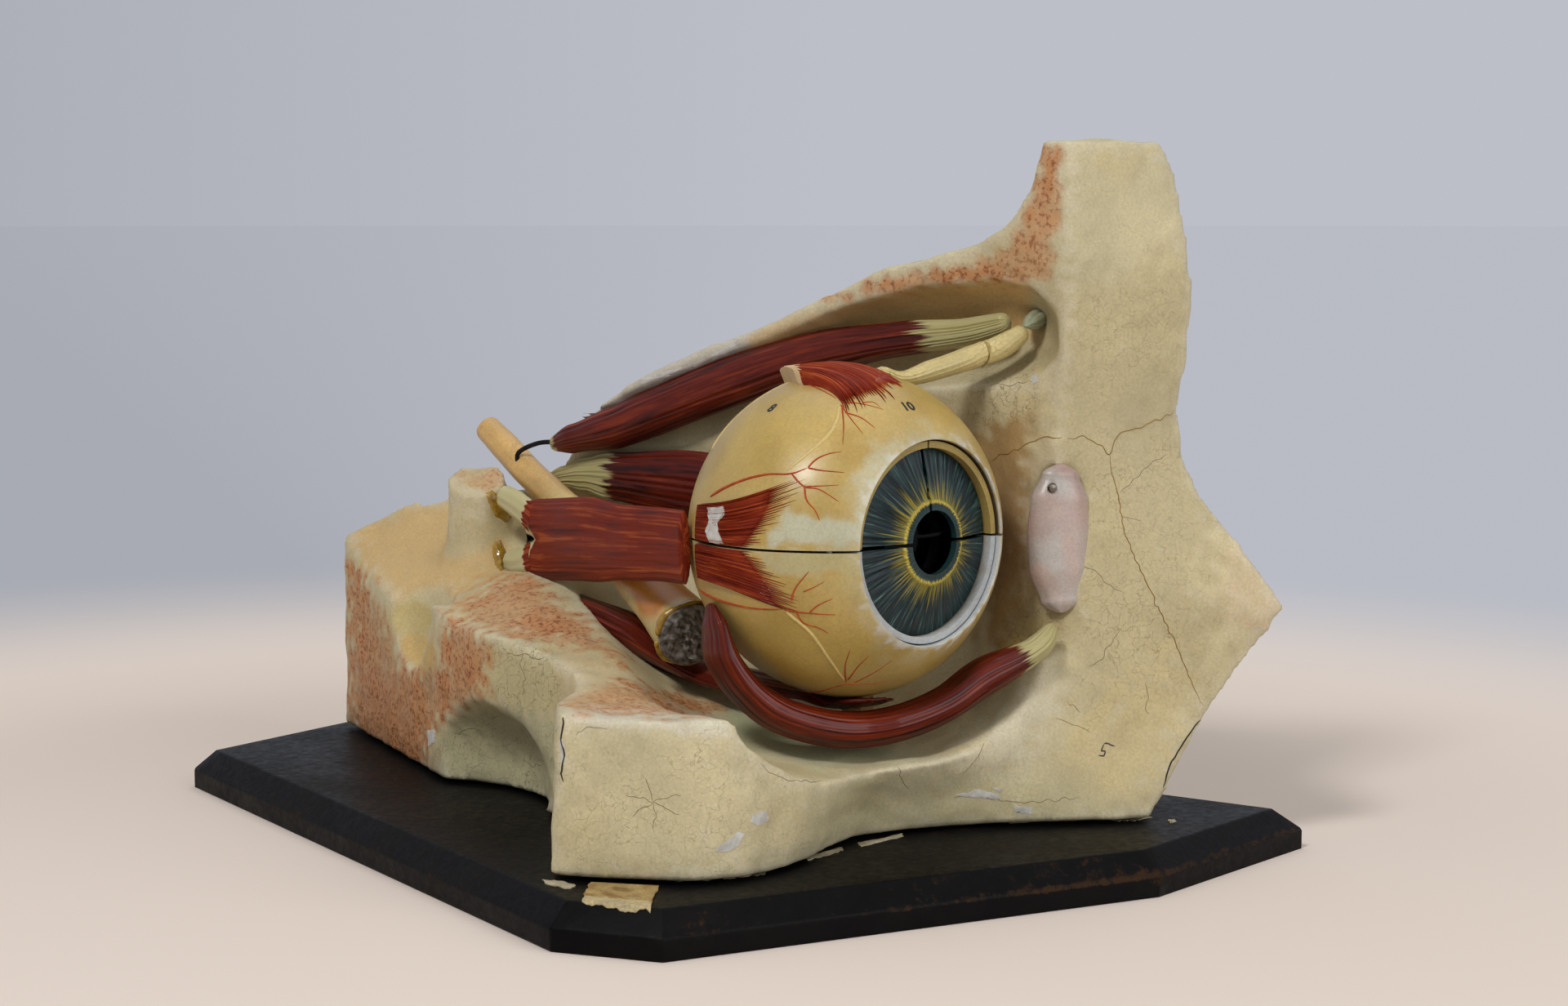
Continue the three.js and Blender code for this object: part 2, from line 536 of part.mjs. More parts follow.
const SEAM_LATITUDE = 0.75;
const PATCHES = {
  lateral_rectus_pad_upper: [
    [[148, SEAM_LATITUDE], [146, 13], [190, 22], [178, SEAM_LATITUDE]], PAD_THICKNESS, 0.5],
  lateral_rectus_pad_lower: [
    [[146, -14], [148, -SEAM_LATITUDE], [177, -SEAM_LATITUDE], [191, -21]], PAD_THICKNESS, 0.5],
  medial_rectus_pad_upper: [
    [[318, SEAM_LATITUDE], [314, 20], [4, 13], [4, SEAM_LATITUDE]], 0.5, PAD_THICKNESS],
  medial_rectus_pad_lower: [
    [[314, -20], [318, -SEAM_LATITUDE], [4, -SEAM_LATITUDE], [4, -13]], 0.5, PAD_THICKNESS],
  superior_rectus_stump: [[[150, 59], [84, 61], [284, 68], [201, 52]], STUMP_THICKNESS, 0.6, 8, 8],
};

// Tendon of the superior oblique after its pulley: one piece stays on the pulley, the other lifts
// with the upper half of the globe, and an upright cut parts them.
const TENDON_CUT = [59.2, -20];
const TENDON_STOPS = [
  [[71, -33, 199], 3.6, 3], [[64, -25, 192.5], ...TENDON_HALF], [[57, -17, 188.8], ...TENDON_HALF],
  [[44, -8, 184.4], 5, 3.8], [[31, -1, 181.5], 5, 2.7], [[22, 3, 184.9], 4.6, 2.2]];

function reflectedTendon(side) {
  const whole = solid(sweep(TENDON_STOPS, fromGlobe, { steps: 14, sides: 12 }));
  const sides = { pulley: [LIFT_GAP / 2, 80], globe: [-80, -LIFT_GAP / 2] };
  const keep = block(...sides[side], -60, 60, 0, 400);
  const [x, y] = follow([...TENDON_CUT, 0]);
  keep.rotateZ(Math.atan2(y, x)).translate(x, y, 0);
  return whole.intersect(solid(keep)).subtract(trochlea(SEAT_GAP));
}

function trochlea(grow = 0) {
  return solid(sweep([[[88, -32, 204], 4, 4], [[79, -32.5, 203], 4.4, 4.4], [[74.5, -33, 202], 4.6, 4.8],
    [[72, -33.4, 201.6], 3.6, 4]], upwards, { steps: 6, sides: 10, grow }));
}

// Wire hook that props the end of the superior oblique, planted in the nerve.
function supportWire(grow = 0) {
  const route = [[58, 205, 134.5], [54.6, 203, 134.6], [52.4, 202.2, 138.2], [52, 201.4, 142],
    [54.6, 193, 146.4], [56.8, 182, 147.4]];
  const stops = route.map((point) => [point, WIRE_RADIUS, WIRE_RADIUS]);
  return sweep(stops, sideways, { steps: 12, sides: 6, grow });
}

// Tear sac in its groove beside the nose, and the nail that holds it.
const SAC_CENTRE = [67.4, -49.6, 121.5 + RISE];
const SAC_HALF = [27, 10.6, 5.5];
const SAC_FACING = new THREE.Vector3(-0.65, -0.76, 0);

function lacrimalSac(grow = 0) {
  const [x, y, z] = SAC_CENTRE;
  const [length, width, thickness] = SAC_HALF;
  const stops = [-1, -0.82, -0.4, 0.05, 0.5, 0.84, 1].map((t) => {
    const swell = Math.max(0.3, Math.sqrt(Math.max(0, 1 - t ** 4)));
    const point = new THREE.Vector3(x + 1.5 * t, y + 1.5 * (1 - t * t) + 1.2 * t, z + length * t);
    return [point, width * swell, thickness * swell];
  });
  return solid(sweep(stops, () => SAC_FACING, { steps: 10, grow }));
}

function sacNail(grow = 0) {
  const profile = grow
    ? [[0, -14 - grow], [0.8 + grow, -14 - grow], [0.8 + grow, 6], [0, 6]]
    : [[0, -14], [0.8, -13], [0.8, 1.2], [2, 1.4], [1.4, 2.4], [0, 2.8]];
  const lathe = new THREE.LatheGeometry(profile.map(([r, h]) => new THREE.Vector2(r, h)), 10);
  const out = SAC_FACING;
  const turn = new THREE.Quaternion().setFromUnitVectors(new THREE.Vector3(0, 1, 0), out);
  lathe.applyQuaternion(turn);
  const [x, y, z] = SAC_CENTRE;
  const lift = SAC_HALF[2] - 0.2;
  const [across, back] = [-3.4, 3.9];
  return lathe.translate(x + across + out.x * lift, y + back + out.y * lift, z + SAC_HALF[0] * 0.72);
}

// Globe. Shells are turned about the line of sight and then cut in halves and quarters.

const gaze = new THREE.Quaternion().setFromUnitVectors(new THREE.Vector3(0, 1, 0), LINE_OF_SIGHT);

function turned(profile, segments = GLOBE_SEGMENTS) {
  const lathe = new THREE.LatheGeometry(profile.map(([r, h]) => new THREE.Vector2(r, h)), segments);
  return solid(lathe.applyQuaternion(gaze).translate(0, 0, GLOBE_HEIGHT));
}

// Points of a shell's outline, from one angle to another, in degrees from the line of sight.
function arc(radius, from, to, steps) {
  return Array.from({ length: steps + 1 }, (_, i) => {
    const angle = THREE.MathUtils.degToRad(from + ((to - from) * i) / steps);
    const depth = Math.cos(angle) > 0 ? radius - FRONT_FLATTENING : radius;
    return [Math.abs(Math.sin(angle)) < 1e-6 ? 0 : radius * Math.sin(angle), depth * Math.cos(angle)];
  });
}

const angleAt = (radius, distance) => THREE.MathUtils.radToDeg(Math.asin(distance / radius));

const SCLERA_INSIDE = GLOBE_RADIUS - SCLERA_WALL;
const CHOROID_OUTSIDE = SCLERA_INSIDE - LIFT_GAP;
const CHOROID_INSIDE = CHOROID_OUTSIDE - CHOROID_WALL;
const VITREOUS_RADIUS = CHOROID_INSIDE - LIFT_GAP;
const [, APERTURE_PLANE] = arc(GLOBE_RADIUS, angleAt(GLOBE_RADIUS, APERTURE_RADIUS), 90, 1)[0];
const COLLAR_RADIUS = APERTURE_RADIUS - 2 * SEAT_GAP;
const COLLAR_FRONT = APERTURE_PLANE - COLLAR_RECESS;
const IRIS_FRONT = APERTURE_PLANE - IRIS_RECESS;
const IRIS_BACK = IRIS_FRONT - IRIS_THICKNESS;
const IRIS_RADIUS = COLLAR_RADIUS - COLLAR_WALL - SEAT_GAP;

function scleraBody() {
  const [edge, inside] = [GLOBE_RADIUS, SCLERA_INSIDE].map((radius) => angleAt(radius, APERTURE_RADIUS));
  return turned([...arc(GLOBE_RADIUS, 180, edge, 13), ...arc(SCLERA_INSIDE, inside, 180, 9)]);
}

function choroidBody() {
  const shoulder = angleAt(CHOROID_OUTSIDE, COLLAR_RADIUS);
  const inside = angleAt(CHOROID_INSIDE, COLLAR_RADIUS - COLLAR_WALL);
  return turned([
    ...arc(CHOROID_OUTSIDE, 180, shoulder, 9),
    [COLLAR_RADIUS, COLLAR_FRONT], [COLLAR_RADIUS - COLLAR_WALL, COLLAR_FRONT],
    ...arc(CHOROID_INSIDE, inside, 180, 9),
  ]);
}

// The iris is a shallow cone with the pupil cut through it.
function irisBody() {
  const tip = IRIS_FRONT + IRIS_RISE;
  const cone = turned([[0, tip - IRIS_THICKNESS], [PUPIL_RADIUS, tip - IRIS_THICKNESS],
    [IRIS_RADIUS, IRIS_BACK], [IRIS_RADIUS, IRIS_FRONT], [PUPIL_RADIUS, tip], [0, tip]]);
  const pupil = new THREE.CylinderGeometry(PUPIL_RADIUS, PUPIL_RADIUS, GLOBE_RADIUS, GLOBE_SEGMENTS);
  pupil.translate(0, GLOBE_RADIUS / 2, 0).applyQuaternion(gaze);
  const nasal = PUPIL_OFFSET;
  return cone.subtract(solid(pupil.translate(nasal * Math.cos(GAZE), -nasal * Math.sin(GAZE), GLOBE_HEIGHT)));
}

function lensProfile(grow = 0) {
  const rim = LENS_RADIUS + grow;
  const middle = IRIS_BACK - LENS_FRONT_BULGE - 1.5;
  const bulge = (height, sign) => Array.from({ length: 5 }, (_, i) => {
    const t = i / 5;
    return [rim * Math.sin((t * Math.PI) / 2), middle + sign * (height + grow) * Math.cos((t * Math.PI) / 2)];
  });
  return [...bulge(LENS_BACK_BULGE, -1), [rim, middle], ...bulge(LENS_FRONT_BULGE, 1).reverse()];
}

function vitreousBody() {
  const front = IRIS_BACK - LENS_FRONT_BULGE - 2.5;
  const shoulder = THREE.MathUtils.radToDeg(Math.acos(front / (VITREOUS_RADIUS - FRONT_FLATTENING)));
  const whole = turned([...arc(VITREOUS_RADIUS, 180, shoulder, 9), [0, front]], 24);
  const [mouthRadius, mouthDepth] = [LENS_RADIUS + LIFT_GAP, 2];
  const mouth = turned([[0, front - mouthDepth], [mouthRadius, front - mouthDepth],
    [mouthRadius, front + 9], [0, front + 9]], 24);
  return whole.subtract(turned(lensProfile(LIFT_GAP / 2), 24)).subtract(mouth);
}

const above = () => solid(block(-90, 90, -90, 90, GLOBE_HEIGHT + SEAM_GAP / 2, GLOBE_HEIGHT + 90));
const below = () => solid(block(-90, 90, -90, 90, GLOBE_HEIGHT - 90, GLOBE_HEIGHT - SEAM_GAP / 2));

// Half space on one side of the upright plane through the line of sight: -1 temple, 1 nose.
function besideGaze(side) {
  const half = block(side > 0 ? SEAM_GAP / 2 : -90, side > 0 ? 90 : -SEAM_GAP / 2, -90, 90, 0, 400);
  return solid(half.rotateZ(THREE.MathUtils.degToRad(-GAZE_ANGLE)));
}

function pinPlace(longitude) {
  const { x, y } = onGlobe(longitude, 0, -SCLERA_WALL / 2);
  return [x, y];
}

function drillPins(body) {
  return PIN_LONGITUDES.reduce((rest, longitude) => rest.subtract(solid(rod(
    ...pinPlace(longitude), ...pinEnds(HOLE_GAP), PIN_RADIUS + HOLE_GAP, 8))), body);
}

function pinEnds(grow = 0) {
  const half = PIN_LENGTH / 2 + grow;
  return [GLOBE_HEIGHT - half, GLOBE_HEIGHT + half];
}

function pegEnds() {
  const [x, y] = PEG_PLACE;
  const underside = GLOBE_HEIGHT - Math.sqrt(GLOBE_RADIUS ** 2 - x * x - y * y);
  return [underside - PEG_STANDING - PEG_ROOT, underside + PEG_SOCKET];
}

// Paper label folded over the bevel of the near corner. Its sides run from the casting to the fold
// and on down the slope of the bevel.
function labelGeometry() {
  const [from, to] = BOARD_OUTLINE.slice(4, 6).map((corner) => new THREE.Vector2(...corner));
  const along = to.clone().sub(from).normalize();
  const inset = (point) => (point.x - from.x) * -along.y + (point.y - from.y) * along.x;
  const sides = LABEL_INNER.map((corner, i) => {
    const [inner, outer] = [corner, LABEL_OUTER[i]].map((spot) => new THREE.Vector2(...spot));
    const fold = (inset(inner) - BOARD_BEVEL - 0.2) / (inset(inner) - inset(outer));
    return [inner, inner.clone().lerp(outer, fold), outer];
  });
  const rings = [0, 1, 2].map((stop) => {
    const [left, right] = sides.map((side) => {
      const down = Math.max(0, BOARD_BEVEL - inset(side[stop]));
      return new THREE.Vector3(side[stop].x, side[stop].y, BOARD_THICKNESS - down + SEAT_GAP + 0.1 * stop);
    });
    const thick = new THREE.Vector3(0, 0, LABEL_THICKNESS);
    return [left, right, right.clone().add(thick), left.clone().add(thick)];
  });
  return loft(rings);
}

// Assembly

const PAINT = {
  bone: { color: 0xc9b98a, roughness: 0.8 },
  ebonised: { color: 0x1d1a1c, roughness: 0.4 },
  steel: { color: 0x6f6a62, roughness: 0.45, metalness: 1 },
  wood: { color: 0xa98352, roughness: 0.7 },
  muscle: { color: 0x7a2318, roughness: 0.4 },
  tendon: { color: 0xcdb877, roughness: 0.5 },
  nerve: { color: 0xd9b765, roughness: 0.5 },
  sclera: { color: 0xd0ae5c, roughness: 0.45 },
  choroid: { color: 0xa9853f, roughness: 0.6 },
  iris: { color: 0x27454a, roughness: 0.35 },
  vitreous: { color: 0xb9c3c4, roughness: 0.2 },
  lens: { color: 0xd8dcd6, roughness: 0.05 },
  sac: { color: 0xc99a86, roughness: 0.5 },
  paper: { color: 0xa58b54, roughness: 0.9 },
};

const model = new THREE.Group();

function addMesh(name, geometry, paint) {
  const mesh = new THREE.Mesh(geometry, new THREE.MeshStandardMaterial(PAINT[paint]));
  mesh.name = name;
  model.add(mesh);
}

const addBody = (name, body, paint) => addMesh(name, geometryOf(body), paint);

addMesh('base_board', boardGeometry(), 'ebonised');
SCREW_PLACES.forEach(([x, y], i) => addBody(`board_screw_${i + 1}`, solid(screwGeometry(x, y)), 'steel'));
addMesh('paper_label', geometryOf(solid(labelGeometry())), 'paper');

let casting = castingBody();
for (const grown of Object.values(soft)) casting = casting.subtract(solid(grown(SEAT_GAP)));
for (const grown of [lateralRectus, trochlea, lacrimalSac]) casting = casting.subtract(grown(SEAT_GAP));
casting = casting.subtract(solid(sacNail(HOLE_GAP)));
for (const [x, y] of SCREW_PLACES) casting = casting.subtract(solid(screwGeometry(x, y, HOLE_GAP)));
const [pegFoot, pegTop] = pegEnds();
casting = casting.subtract(solid(rod(...PEG_PLACE, pegFoot - HOLE_GAP, pegTop + 9, PEG_RADIUS + HOLE_GAP)));
addBody('orbit_casting', casting, 'bone');

const wireHole = () => solid(supportWire(HOLE_GAP));
addBody('optic_nerve', solid(soft.optic_nerve()).subtract(wireHole()), 'nerve');
addBody('support_wire', solid(supportWire()), 'steel');
addBody('superior_oblique', solid(soft.superior_oblique()).subtract(wireHole()), 'muscle');
addBody('trochlea', trochlea(), 'tendon');
addBody('oblique_tendon_fixed', reflectedTendon('pulley'), 'tendon');
addBody('medial_rectus', solid(soft.medial_rectus()), 'muscle');
const pegHole = solid(rod(...PEG_PLACE, pegFoot, pegTop + 1, PEG_RADIUS + HOLE_GAP));
addBody('inferior_rectus', solid(soft.inferior_rectus()).subtract(pegHole), 'muscle');
addBody('inferior_oblique', solid(soft.inferior_oblique()), 'muscle');

const { point: strapEnd, along: strapRun } = lateralRectusCut();
const strapStop = block(0, 60, -60, 60, 60, 190).rotateZ(Math.atan2(strapRun.y, strapRun.x));
strapStop.translate(strapEnd.x - strapRun.x, strapEnd.y - strapRun.y, 0);
addBody('lateral_rectus', lateralRectus().subtract(solid(strapStop)), 'muscle');

const sac = lacrimalSac().subtract(solid(sacNail(HOLE_GAP)));
addBody('lacrimal_sac', sac, 'sac');
addBody('lacrimal_sac_nail', solid(sacNail()), 'steel');

const sclera = drillPins(scleraBody());
const peg = solid(rod(...PEG_PLACE, pegFoot, pegTop, PEG_RADIUS));
addBody('globe_peg', peg, 'wood');
addBody('sclera_lower', sclera.intersect(below()).subtract(solid(rod(
  ...PEG_PLACE, 0, pegTop + SEAT_GAP, PEG_RADIUS + HOLE_GAP))), 'sclera');
addBody('sclera_upper', sclera.intersect(above()), 'sclera');
PIN_LONGITUDES.forEach((longitude, i) => addBody(`seam_pin_${i + 1}`, solid(rod(
  ...pinPlace(longitude), ...pinEnds(), PIN_RADIUS, 8)), 'steel'));

const choroid = choroidBody();
const iris = irisBody();
const quarters = { temporal: above().intersect(besideGaze(-1)), nasal: above().intersect(besideGaze(1)) };
addBody('choroid_lower', choroid.intersect(below()), 'choroid');
addBody('iris_lower', iris.intersect(below()), 'iris');
for (const [side, quarter] of Object.entries(quarters)) {
  addBody(`choroid_upper_${side}`, choroid.intersect(quarter), 'choroid');
  addBody(`iris_upper_${side}`, iris.intersect(quarter), 'iris');
}
addBody('vitreous_body', vitreousBody(), 'vitreous');
addBody('crystalline_lens', turned(lensProfile(), 20), 'lens');

for (const [name, patch] of Object.entries(PATCHES)) addBody(name, solid(globePatch(...patch)), 'muscle');
addBody('oblique_tendon_globe', reflectedTendon('globe'), 'tendon');

const xs = BOARD_OUTLINE.map(([x]) => x);
const ys = BOARD_OUTLINE.map(([, y]) => y);
model.position.set(
  -(Math.min(...xs) + Math.max(...xs)) / 2, -(Math.min(...ys) + Math.max(...ys)) / 2, 0);

const eyeModel = new THREE.Group();
eyeModel.add(model);
export default eyeModel;
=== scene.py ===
"""Looks of a five times life-size plaster teaching model of the eye in its socket.

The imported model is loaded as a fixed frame. Points in this file are millimetres measured from the
upright line through the middle of the globe, as in the part's source, with z from the table.
"""

from __future__ import annotations

import json
import logging
import math
from collections.abc import Callable, Sequence
from dataclasses import dataclass, field
from enum import Enum

import bmesh
import bpy
import numpy as np
from mathutils import Matrix, Vector
from mathutils.bvhtree import BVHTree
from numpy.typing import NDArray

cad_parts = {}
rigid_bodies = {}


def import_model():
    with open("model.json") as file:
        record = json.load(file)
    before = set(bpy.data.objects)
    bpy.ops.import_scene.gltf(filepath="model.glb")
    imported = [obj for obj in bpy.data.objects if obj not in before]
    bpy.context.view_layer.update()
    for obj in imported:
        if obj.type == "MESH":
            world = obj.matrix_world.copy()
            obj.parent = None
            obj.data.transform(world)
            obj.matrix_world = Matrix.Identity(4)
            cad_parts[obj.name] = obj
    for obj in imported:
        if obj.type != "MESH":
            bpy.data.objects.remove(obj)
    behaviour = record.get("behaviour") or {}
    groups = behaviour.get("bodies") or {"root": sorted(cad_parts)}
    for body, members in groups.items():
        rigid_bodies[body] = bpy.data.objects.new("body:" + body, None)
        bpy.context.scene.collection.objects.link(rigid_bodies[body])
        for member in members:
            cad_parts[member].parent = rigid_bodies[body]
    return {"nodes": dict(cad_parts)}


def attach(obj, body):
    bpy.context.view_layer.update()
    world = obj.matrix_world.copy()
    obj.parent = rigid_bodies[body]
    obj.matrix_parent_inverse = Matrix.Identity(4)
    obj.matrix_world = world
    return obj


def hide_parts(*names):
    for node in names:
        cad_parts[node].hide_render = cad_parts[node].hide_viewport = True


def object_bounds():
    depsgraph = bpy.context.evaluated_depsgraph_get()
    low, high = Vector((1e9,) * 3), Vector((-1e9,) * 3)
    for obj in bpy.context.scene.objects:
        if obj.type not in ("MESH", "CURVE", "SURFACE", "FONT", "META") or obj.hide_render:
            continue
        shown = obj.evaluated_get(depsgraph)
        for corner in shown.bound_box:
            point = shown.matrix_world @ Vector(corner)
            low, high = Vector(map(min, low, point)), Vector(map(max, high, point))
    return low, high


for stray in list(bpy.data.objects):
    bpy.data.objects.remove(stray)
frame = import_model()
CAD_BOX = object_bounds()

Array = NDArray[np.float64]
Pixels = Sequence[tuple[float, float]]
MM = 0.001
AXIS = np.array([12.5, -95.0, 0.0])  # the globe's upright axis, from the middle of the board
log = logging.getLogger("eye_model")


class Body(str, Enum):
    """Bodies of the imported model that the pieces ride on."""

    SOCKET = "socket"
    UPPER_SCLERA = "upper_sclera"
    UPPER_CHOROID = "upper_choroid"
    VITREOUS = "vitreous"
    LOWER_CHOROID = "lower_choroid"


# Numbers and vectors


def unit(vectors: Array) -> Array:
    """Scale vectors to length one."""
    return vectors / np.maximum(np.linalg.norm(vectors, axis=-1, keepdims=True), 1e-12)


def smoothstep(low: float, high: float, value: Array) -> Array:
    """Rise from 0 at low to 1 at high along the curve 3x^2 - 2x^3."""
    x = np.clip((value - low) / (high - low), 0, 1)
    return x * x * (3 - 2 * x)


def ripple(points: Array, size: float, seed: int, waves: int = 24) -> Array:
    """Sum plane sine waves of one length in many directions, which gives soft random lumps.

    Args:
        points: Places in millimetres, last axis xyz.
        size: Length of a wave in millimetres.
        seed: Seed of the directions and phases.
        waves: Number of waves.

    Returns:
        One value for each point, with a spread of about one.
    """
    rng = np.random.default_rng(seed)
    turns = unit(rng.normal(size=(waves, 3))) * (2 * np.pi / size) * rng.uniform(0.7, 1.4, (waves, 1))
    return np.sin(points @ turns.T + rng.uniform(0, 2 * np.pi, waves)).sum(-1) * math.sqrt(2 / waves)


def linear(colour: str) -> tuple[float, float, float, float]:
    """Turn an sRGB hex colour into linear red, green, blue and alpha."""
    parts = [int(colour[i : i + 2], 16) / 255 for i in (1, 3, 5)]
    red, green, blue = (p / 12.92 if p <= 0.04045 else ((p + 0.055) / 1.055) ** 2.4 for p in parts)
    return red, green, blue, 1.0


# Blender's data


def link(name: str, data: bpy.types.ID) -> bpy.types.Object:
    """Put a new object into the scene."""
    made = bpy.data.objects.new(name, data)
    bpy.context.scene.collection.objects.link(made)
    return made


def read(rows: bpy.types.bpy_prop_collection, key: str, width: int = 3, kind: type = np.float32) -> Array:
    """Read one property of a mesh's vertices or edges, so many numbers to a row."""
    flat = np.zeros(len(rows) * width, kind)
    rows.foreach_get(key, flat)
    return flat.reshape(-1, width).astype(float)


def write(mesh: bpy.types.Mesh, points: Array) -> None:
    """Write the places of the vertices, in millimetres, into the mesh."""
    mesh.vertices.foreach_set("co", ((points + AXIS) * MM).astype(np.float32).ravel())
    mesh.update()


def set_mark(mesh: bpy.types.Mesh, name: str, values: Array) -> None:
    """Mark the points of a mesh with a number, a vector or a colour with alpha each."""
    kind, key = {
        1: ("FLOAT", "value"), 3: ("FLOAT_VECTOR", "vector"), 4: ("FLOAT_COLOR", "color"),
    }[values.size // len(values)]
    mesh.attributes.new(name, kind, "POINT").data.foreach_set(key, values.astype(np.float32).ravel())


# Camera and globe


@dataclass(frozen=True)
class PhotoCamera:
    """Camera of the photograph, as solved from the edges of the board and the globe."""

    width_px: float = 1920.0
    height_px: float = 1232.0
    focal_px: float = 3500.0
    place: tuple[float, float, float] = (-873.28, -570.35, 247.0)
    azimuth: float = -55.5
    pitch: float = 6.0
    film_mm: float = 36.0

    def axes(self) -> tuple[Array, Array, Array]:
        """Give the camera's right, up and backward directions."""
        a, e = math.radians(self.azimuth), math.radians(self.pitch)
        back = np.array([math.sin(a) * math.cos(e), -math.cos(a) * math.cos(e), math.sin(e)])
        right = np.array([math.cos(a), math.sin(a), 0.0])
        return right, np.cross(back, right), back

    def rays(self, pixels: Pixels) -> Array:
        """Give the direction of the sight line through each pixel."""
        right, up, back = self.axes()
        x, y = (np.asarray(pixels, float) - [self.width_px / 2, self.height_px / 2]).T / self.focal_px
        return unit(x[:, None] * right - y[:, None] * up - back)

    def pixels(self, points: Array) -> Array:
        """Give the pixel at which each point is seen."""
        right, up, back = self.axes()
        away = points - np.array(self.place)
        scale = self.focal_px / -(away @ back)
        return np.stack(
            [self.width_px / 2 + away @ right * scale, self.height_px / 2 - away @ up * scale], -1
        )

    def towards(self, points: Array) -> Array:
        """Give the direction from each point to the camera."""
        return unit(np.array(self.place) - points)

    def set_up(self) -> None:
        """Make the scene's camera."""
        lens = bpy.data.cameras.new("photo_camera")
        lens.sensor_width = self.film_mm
        lens.lens = self.focal_px / self.width_px * self.film_mm
        lens.clip_start, lens.clip_end = 0.05, 60.0
        camera = link("photo_camera", lens)
        right, up, back = self.axes()
        turn = Matrix([right, up, back]).transposed().to_4x4()
        camera.matrix_world = Matrix.Translation(Vector((np.array(self.place) + AXIS) * MM)) @ turn
        bpy.context.scene.camera = camera


@dataclass(frozen=True)
class Globe:
    """Outside of the eyeball: a ball whose front half is a little flattened along the gaze."""

    radius: float = 60.0
    depth: float = 52.0
    height: float = 126.0
    gaze: float = 11.0

    @property
    def centre(self) -> Array:
        """Middle of the ball."""
        return np.array([0.0, 0.0, self.height])

    @property
    def sight(self) -> Array:
        """Direction in which the eye looks."""
        g = math.radians(self.gaze)
        return np.array([-math.sin(g), -math.cos(g), 0.0])

    @property
    def nasal(self) -> Array:
        """Direction across the line of sight towards the nose."""
        g = math.radians(self.gaze)
        return np.array([math.cos(g), -math.sin(g), 0.0])

    def at(self, directions: Array, above: float | Array = 0.0) -> Array:
        """Give the points at a height above the surface, in directions from the middle."""
        directions = unit(directions)
        forward = directions @ self.sight
        flat = 1 / np.sqrt((1 - forward**2) / self.radius**2 + forward**2 / self.depth**2)
        reach = np.where(forward < 0, self.radius, flat)
        return self.centre + directions * (reach + above)[..., None]

    def bearing(self, longitude: Array | float, latitude: Array | float) -> Array:
        """Give the direction of a longitude and latitude in degrees, from +X and the equator."""
        lon, lat = np.radians(longitude), np.radians(latitude)
        return np.stack([np.cos(lat) * np.cos(lon), np.cos(lat) * np.sin(lon), np.sin(lat)], -1)

    def on(self, longitude: float, latitude: float, above: float = 0.0) -> tuple[float, ...]:
        """Give one point above the surface as a tuple."""
        return tuple(self.at(self.bearing(longitude, latitude), np.asarray(above)))

    def seen(self, pixels: Pixels, camera: PhotoCamera) -> Array:
        """Give the directions of the surface points that show at pixels of the photograph.

        The ball is met as a sphere after stretching space along the gaze, once for each half.
        """
        rays, eye = camera.rays(pixels), np.array(camera.place) - self.centre
        found = []
        for stretch in (self.radius / self.depth, 1.0):
            grow = np.eye(3) + (stretch - 1) * np.outer(self.sight, self.sight)
            d, o = rays @ grow, grow @ eye
            a, b, c = (d * d).sum(1), 2 * d @ o, o @ o - self.radius**2
            far = (-b - np.sqrt(np.maximum(b * b - 4 * a * c, 0))) / (2 * a)
            found.append(eye + rays * far[:, None])
        front = found[0] @ self.sight >= 0
        return unit(np.where(front[:, None], found[0], found[1]))


CAMERA = PhotoCamera()
GLOBE = Globe()


# Surfaces


@dataclass
class Skin:
    """Points, faces and point marks of a surface that will become one piece."""

    points: Array
    faces: NDArray[np.int64]
    marks: dict[str, Array] = field(default_factory=dict)

    def __add__(self, other: Skin) -> Skin:
        """Put two surfaces with the same marks together."""
        marks = {name: np.concatenate([self.marks[name], other.marks[name]]) for name in self.marks}
        faces = np.concatenate([self.faces, other.faces + len(self.points)])
        return Skin(np.concatenate([self.points, other.points]), faces, marks)

    def marked(self, **marks: Array) -> Skin:
        """Give the same surface with these marks in place of its own."""
        return Skin(self.points, self.faces, marks)

    def piece(self, name: str, crease: float = 38.0) -> bpy.types.Object:
        """Make the object, with its doubles merged and its faces turned outwards.

        Args:
            name: Name of the piece.
            crease: Angle in degrees above which an edge stays sharp.

        Returns:
            The new object.
        """
        mesh = bpy.data.meshes.new(name)
        mesh.from_pydata(((self.points + AXIS) * MM).tolist(), [], self.faces.tolist())
        for mark, values in self.marks.items():
            set_mark(mesh, mark, values)
        work = bmesh.new()
        work.from_mesh(mesh)
        bmesh.ops.remove_doubles(work, verts=work.verts, dist=1e-6)
        bmesh.ops.dissolve_degenerate(work, dist=1e-7, edges=work.edges)
        bmesh.ops.recalc_face_normals(work, faces=work.faces)
        work.to_mesh(mesh)
        work.free()
        mesh.shade_smooth()
        mesh.set_sharp_from_angle(angle=math.radians(crease))
        return link(name, mesh)


def grid_faces(rows: int, columns: int, wrap: bool = True) -> NDArray[np.int64]:
    """Give the quads of a grid of points, closed across its columns when it wraps."""
    i, j = np.meshgrid(np.arange(rows - 1), np.arange(columns if wrap else columns - 1), indexing="ij")
    k = (j + 1) % columns
    corners = [i * columns + j, i * columns + k, (i + 1) * columns + k, (i + 1) * columns + j]
    return np.stack(corners, -1).reshape(-1, 4)


def joined(skins: Sequence[Skin]) -> Skin:
    """Put several surfaces with the same marks together."""
    return sum(skins[1:], skins[0])


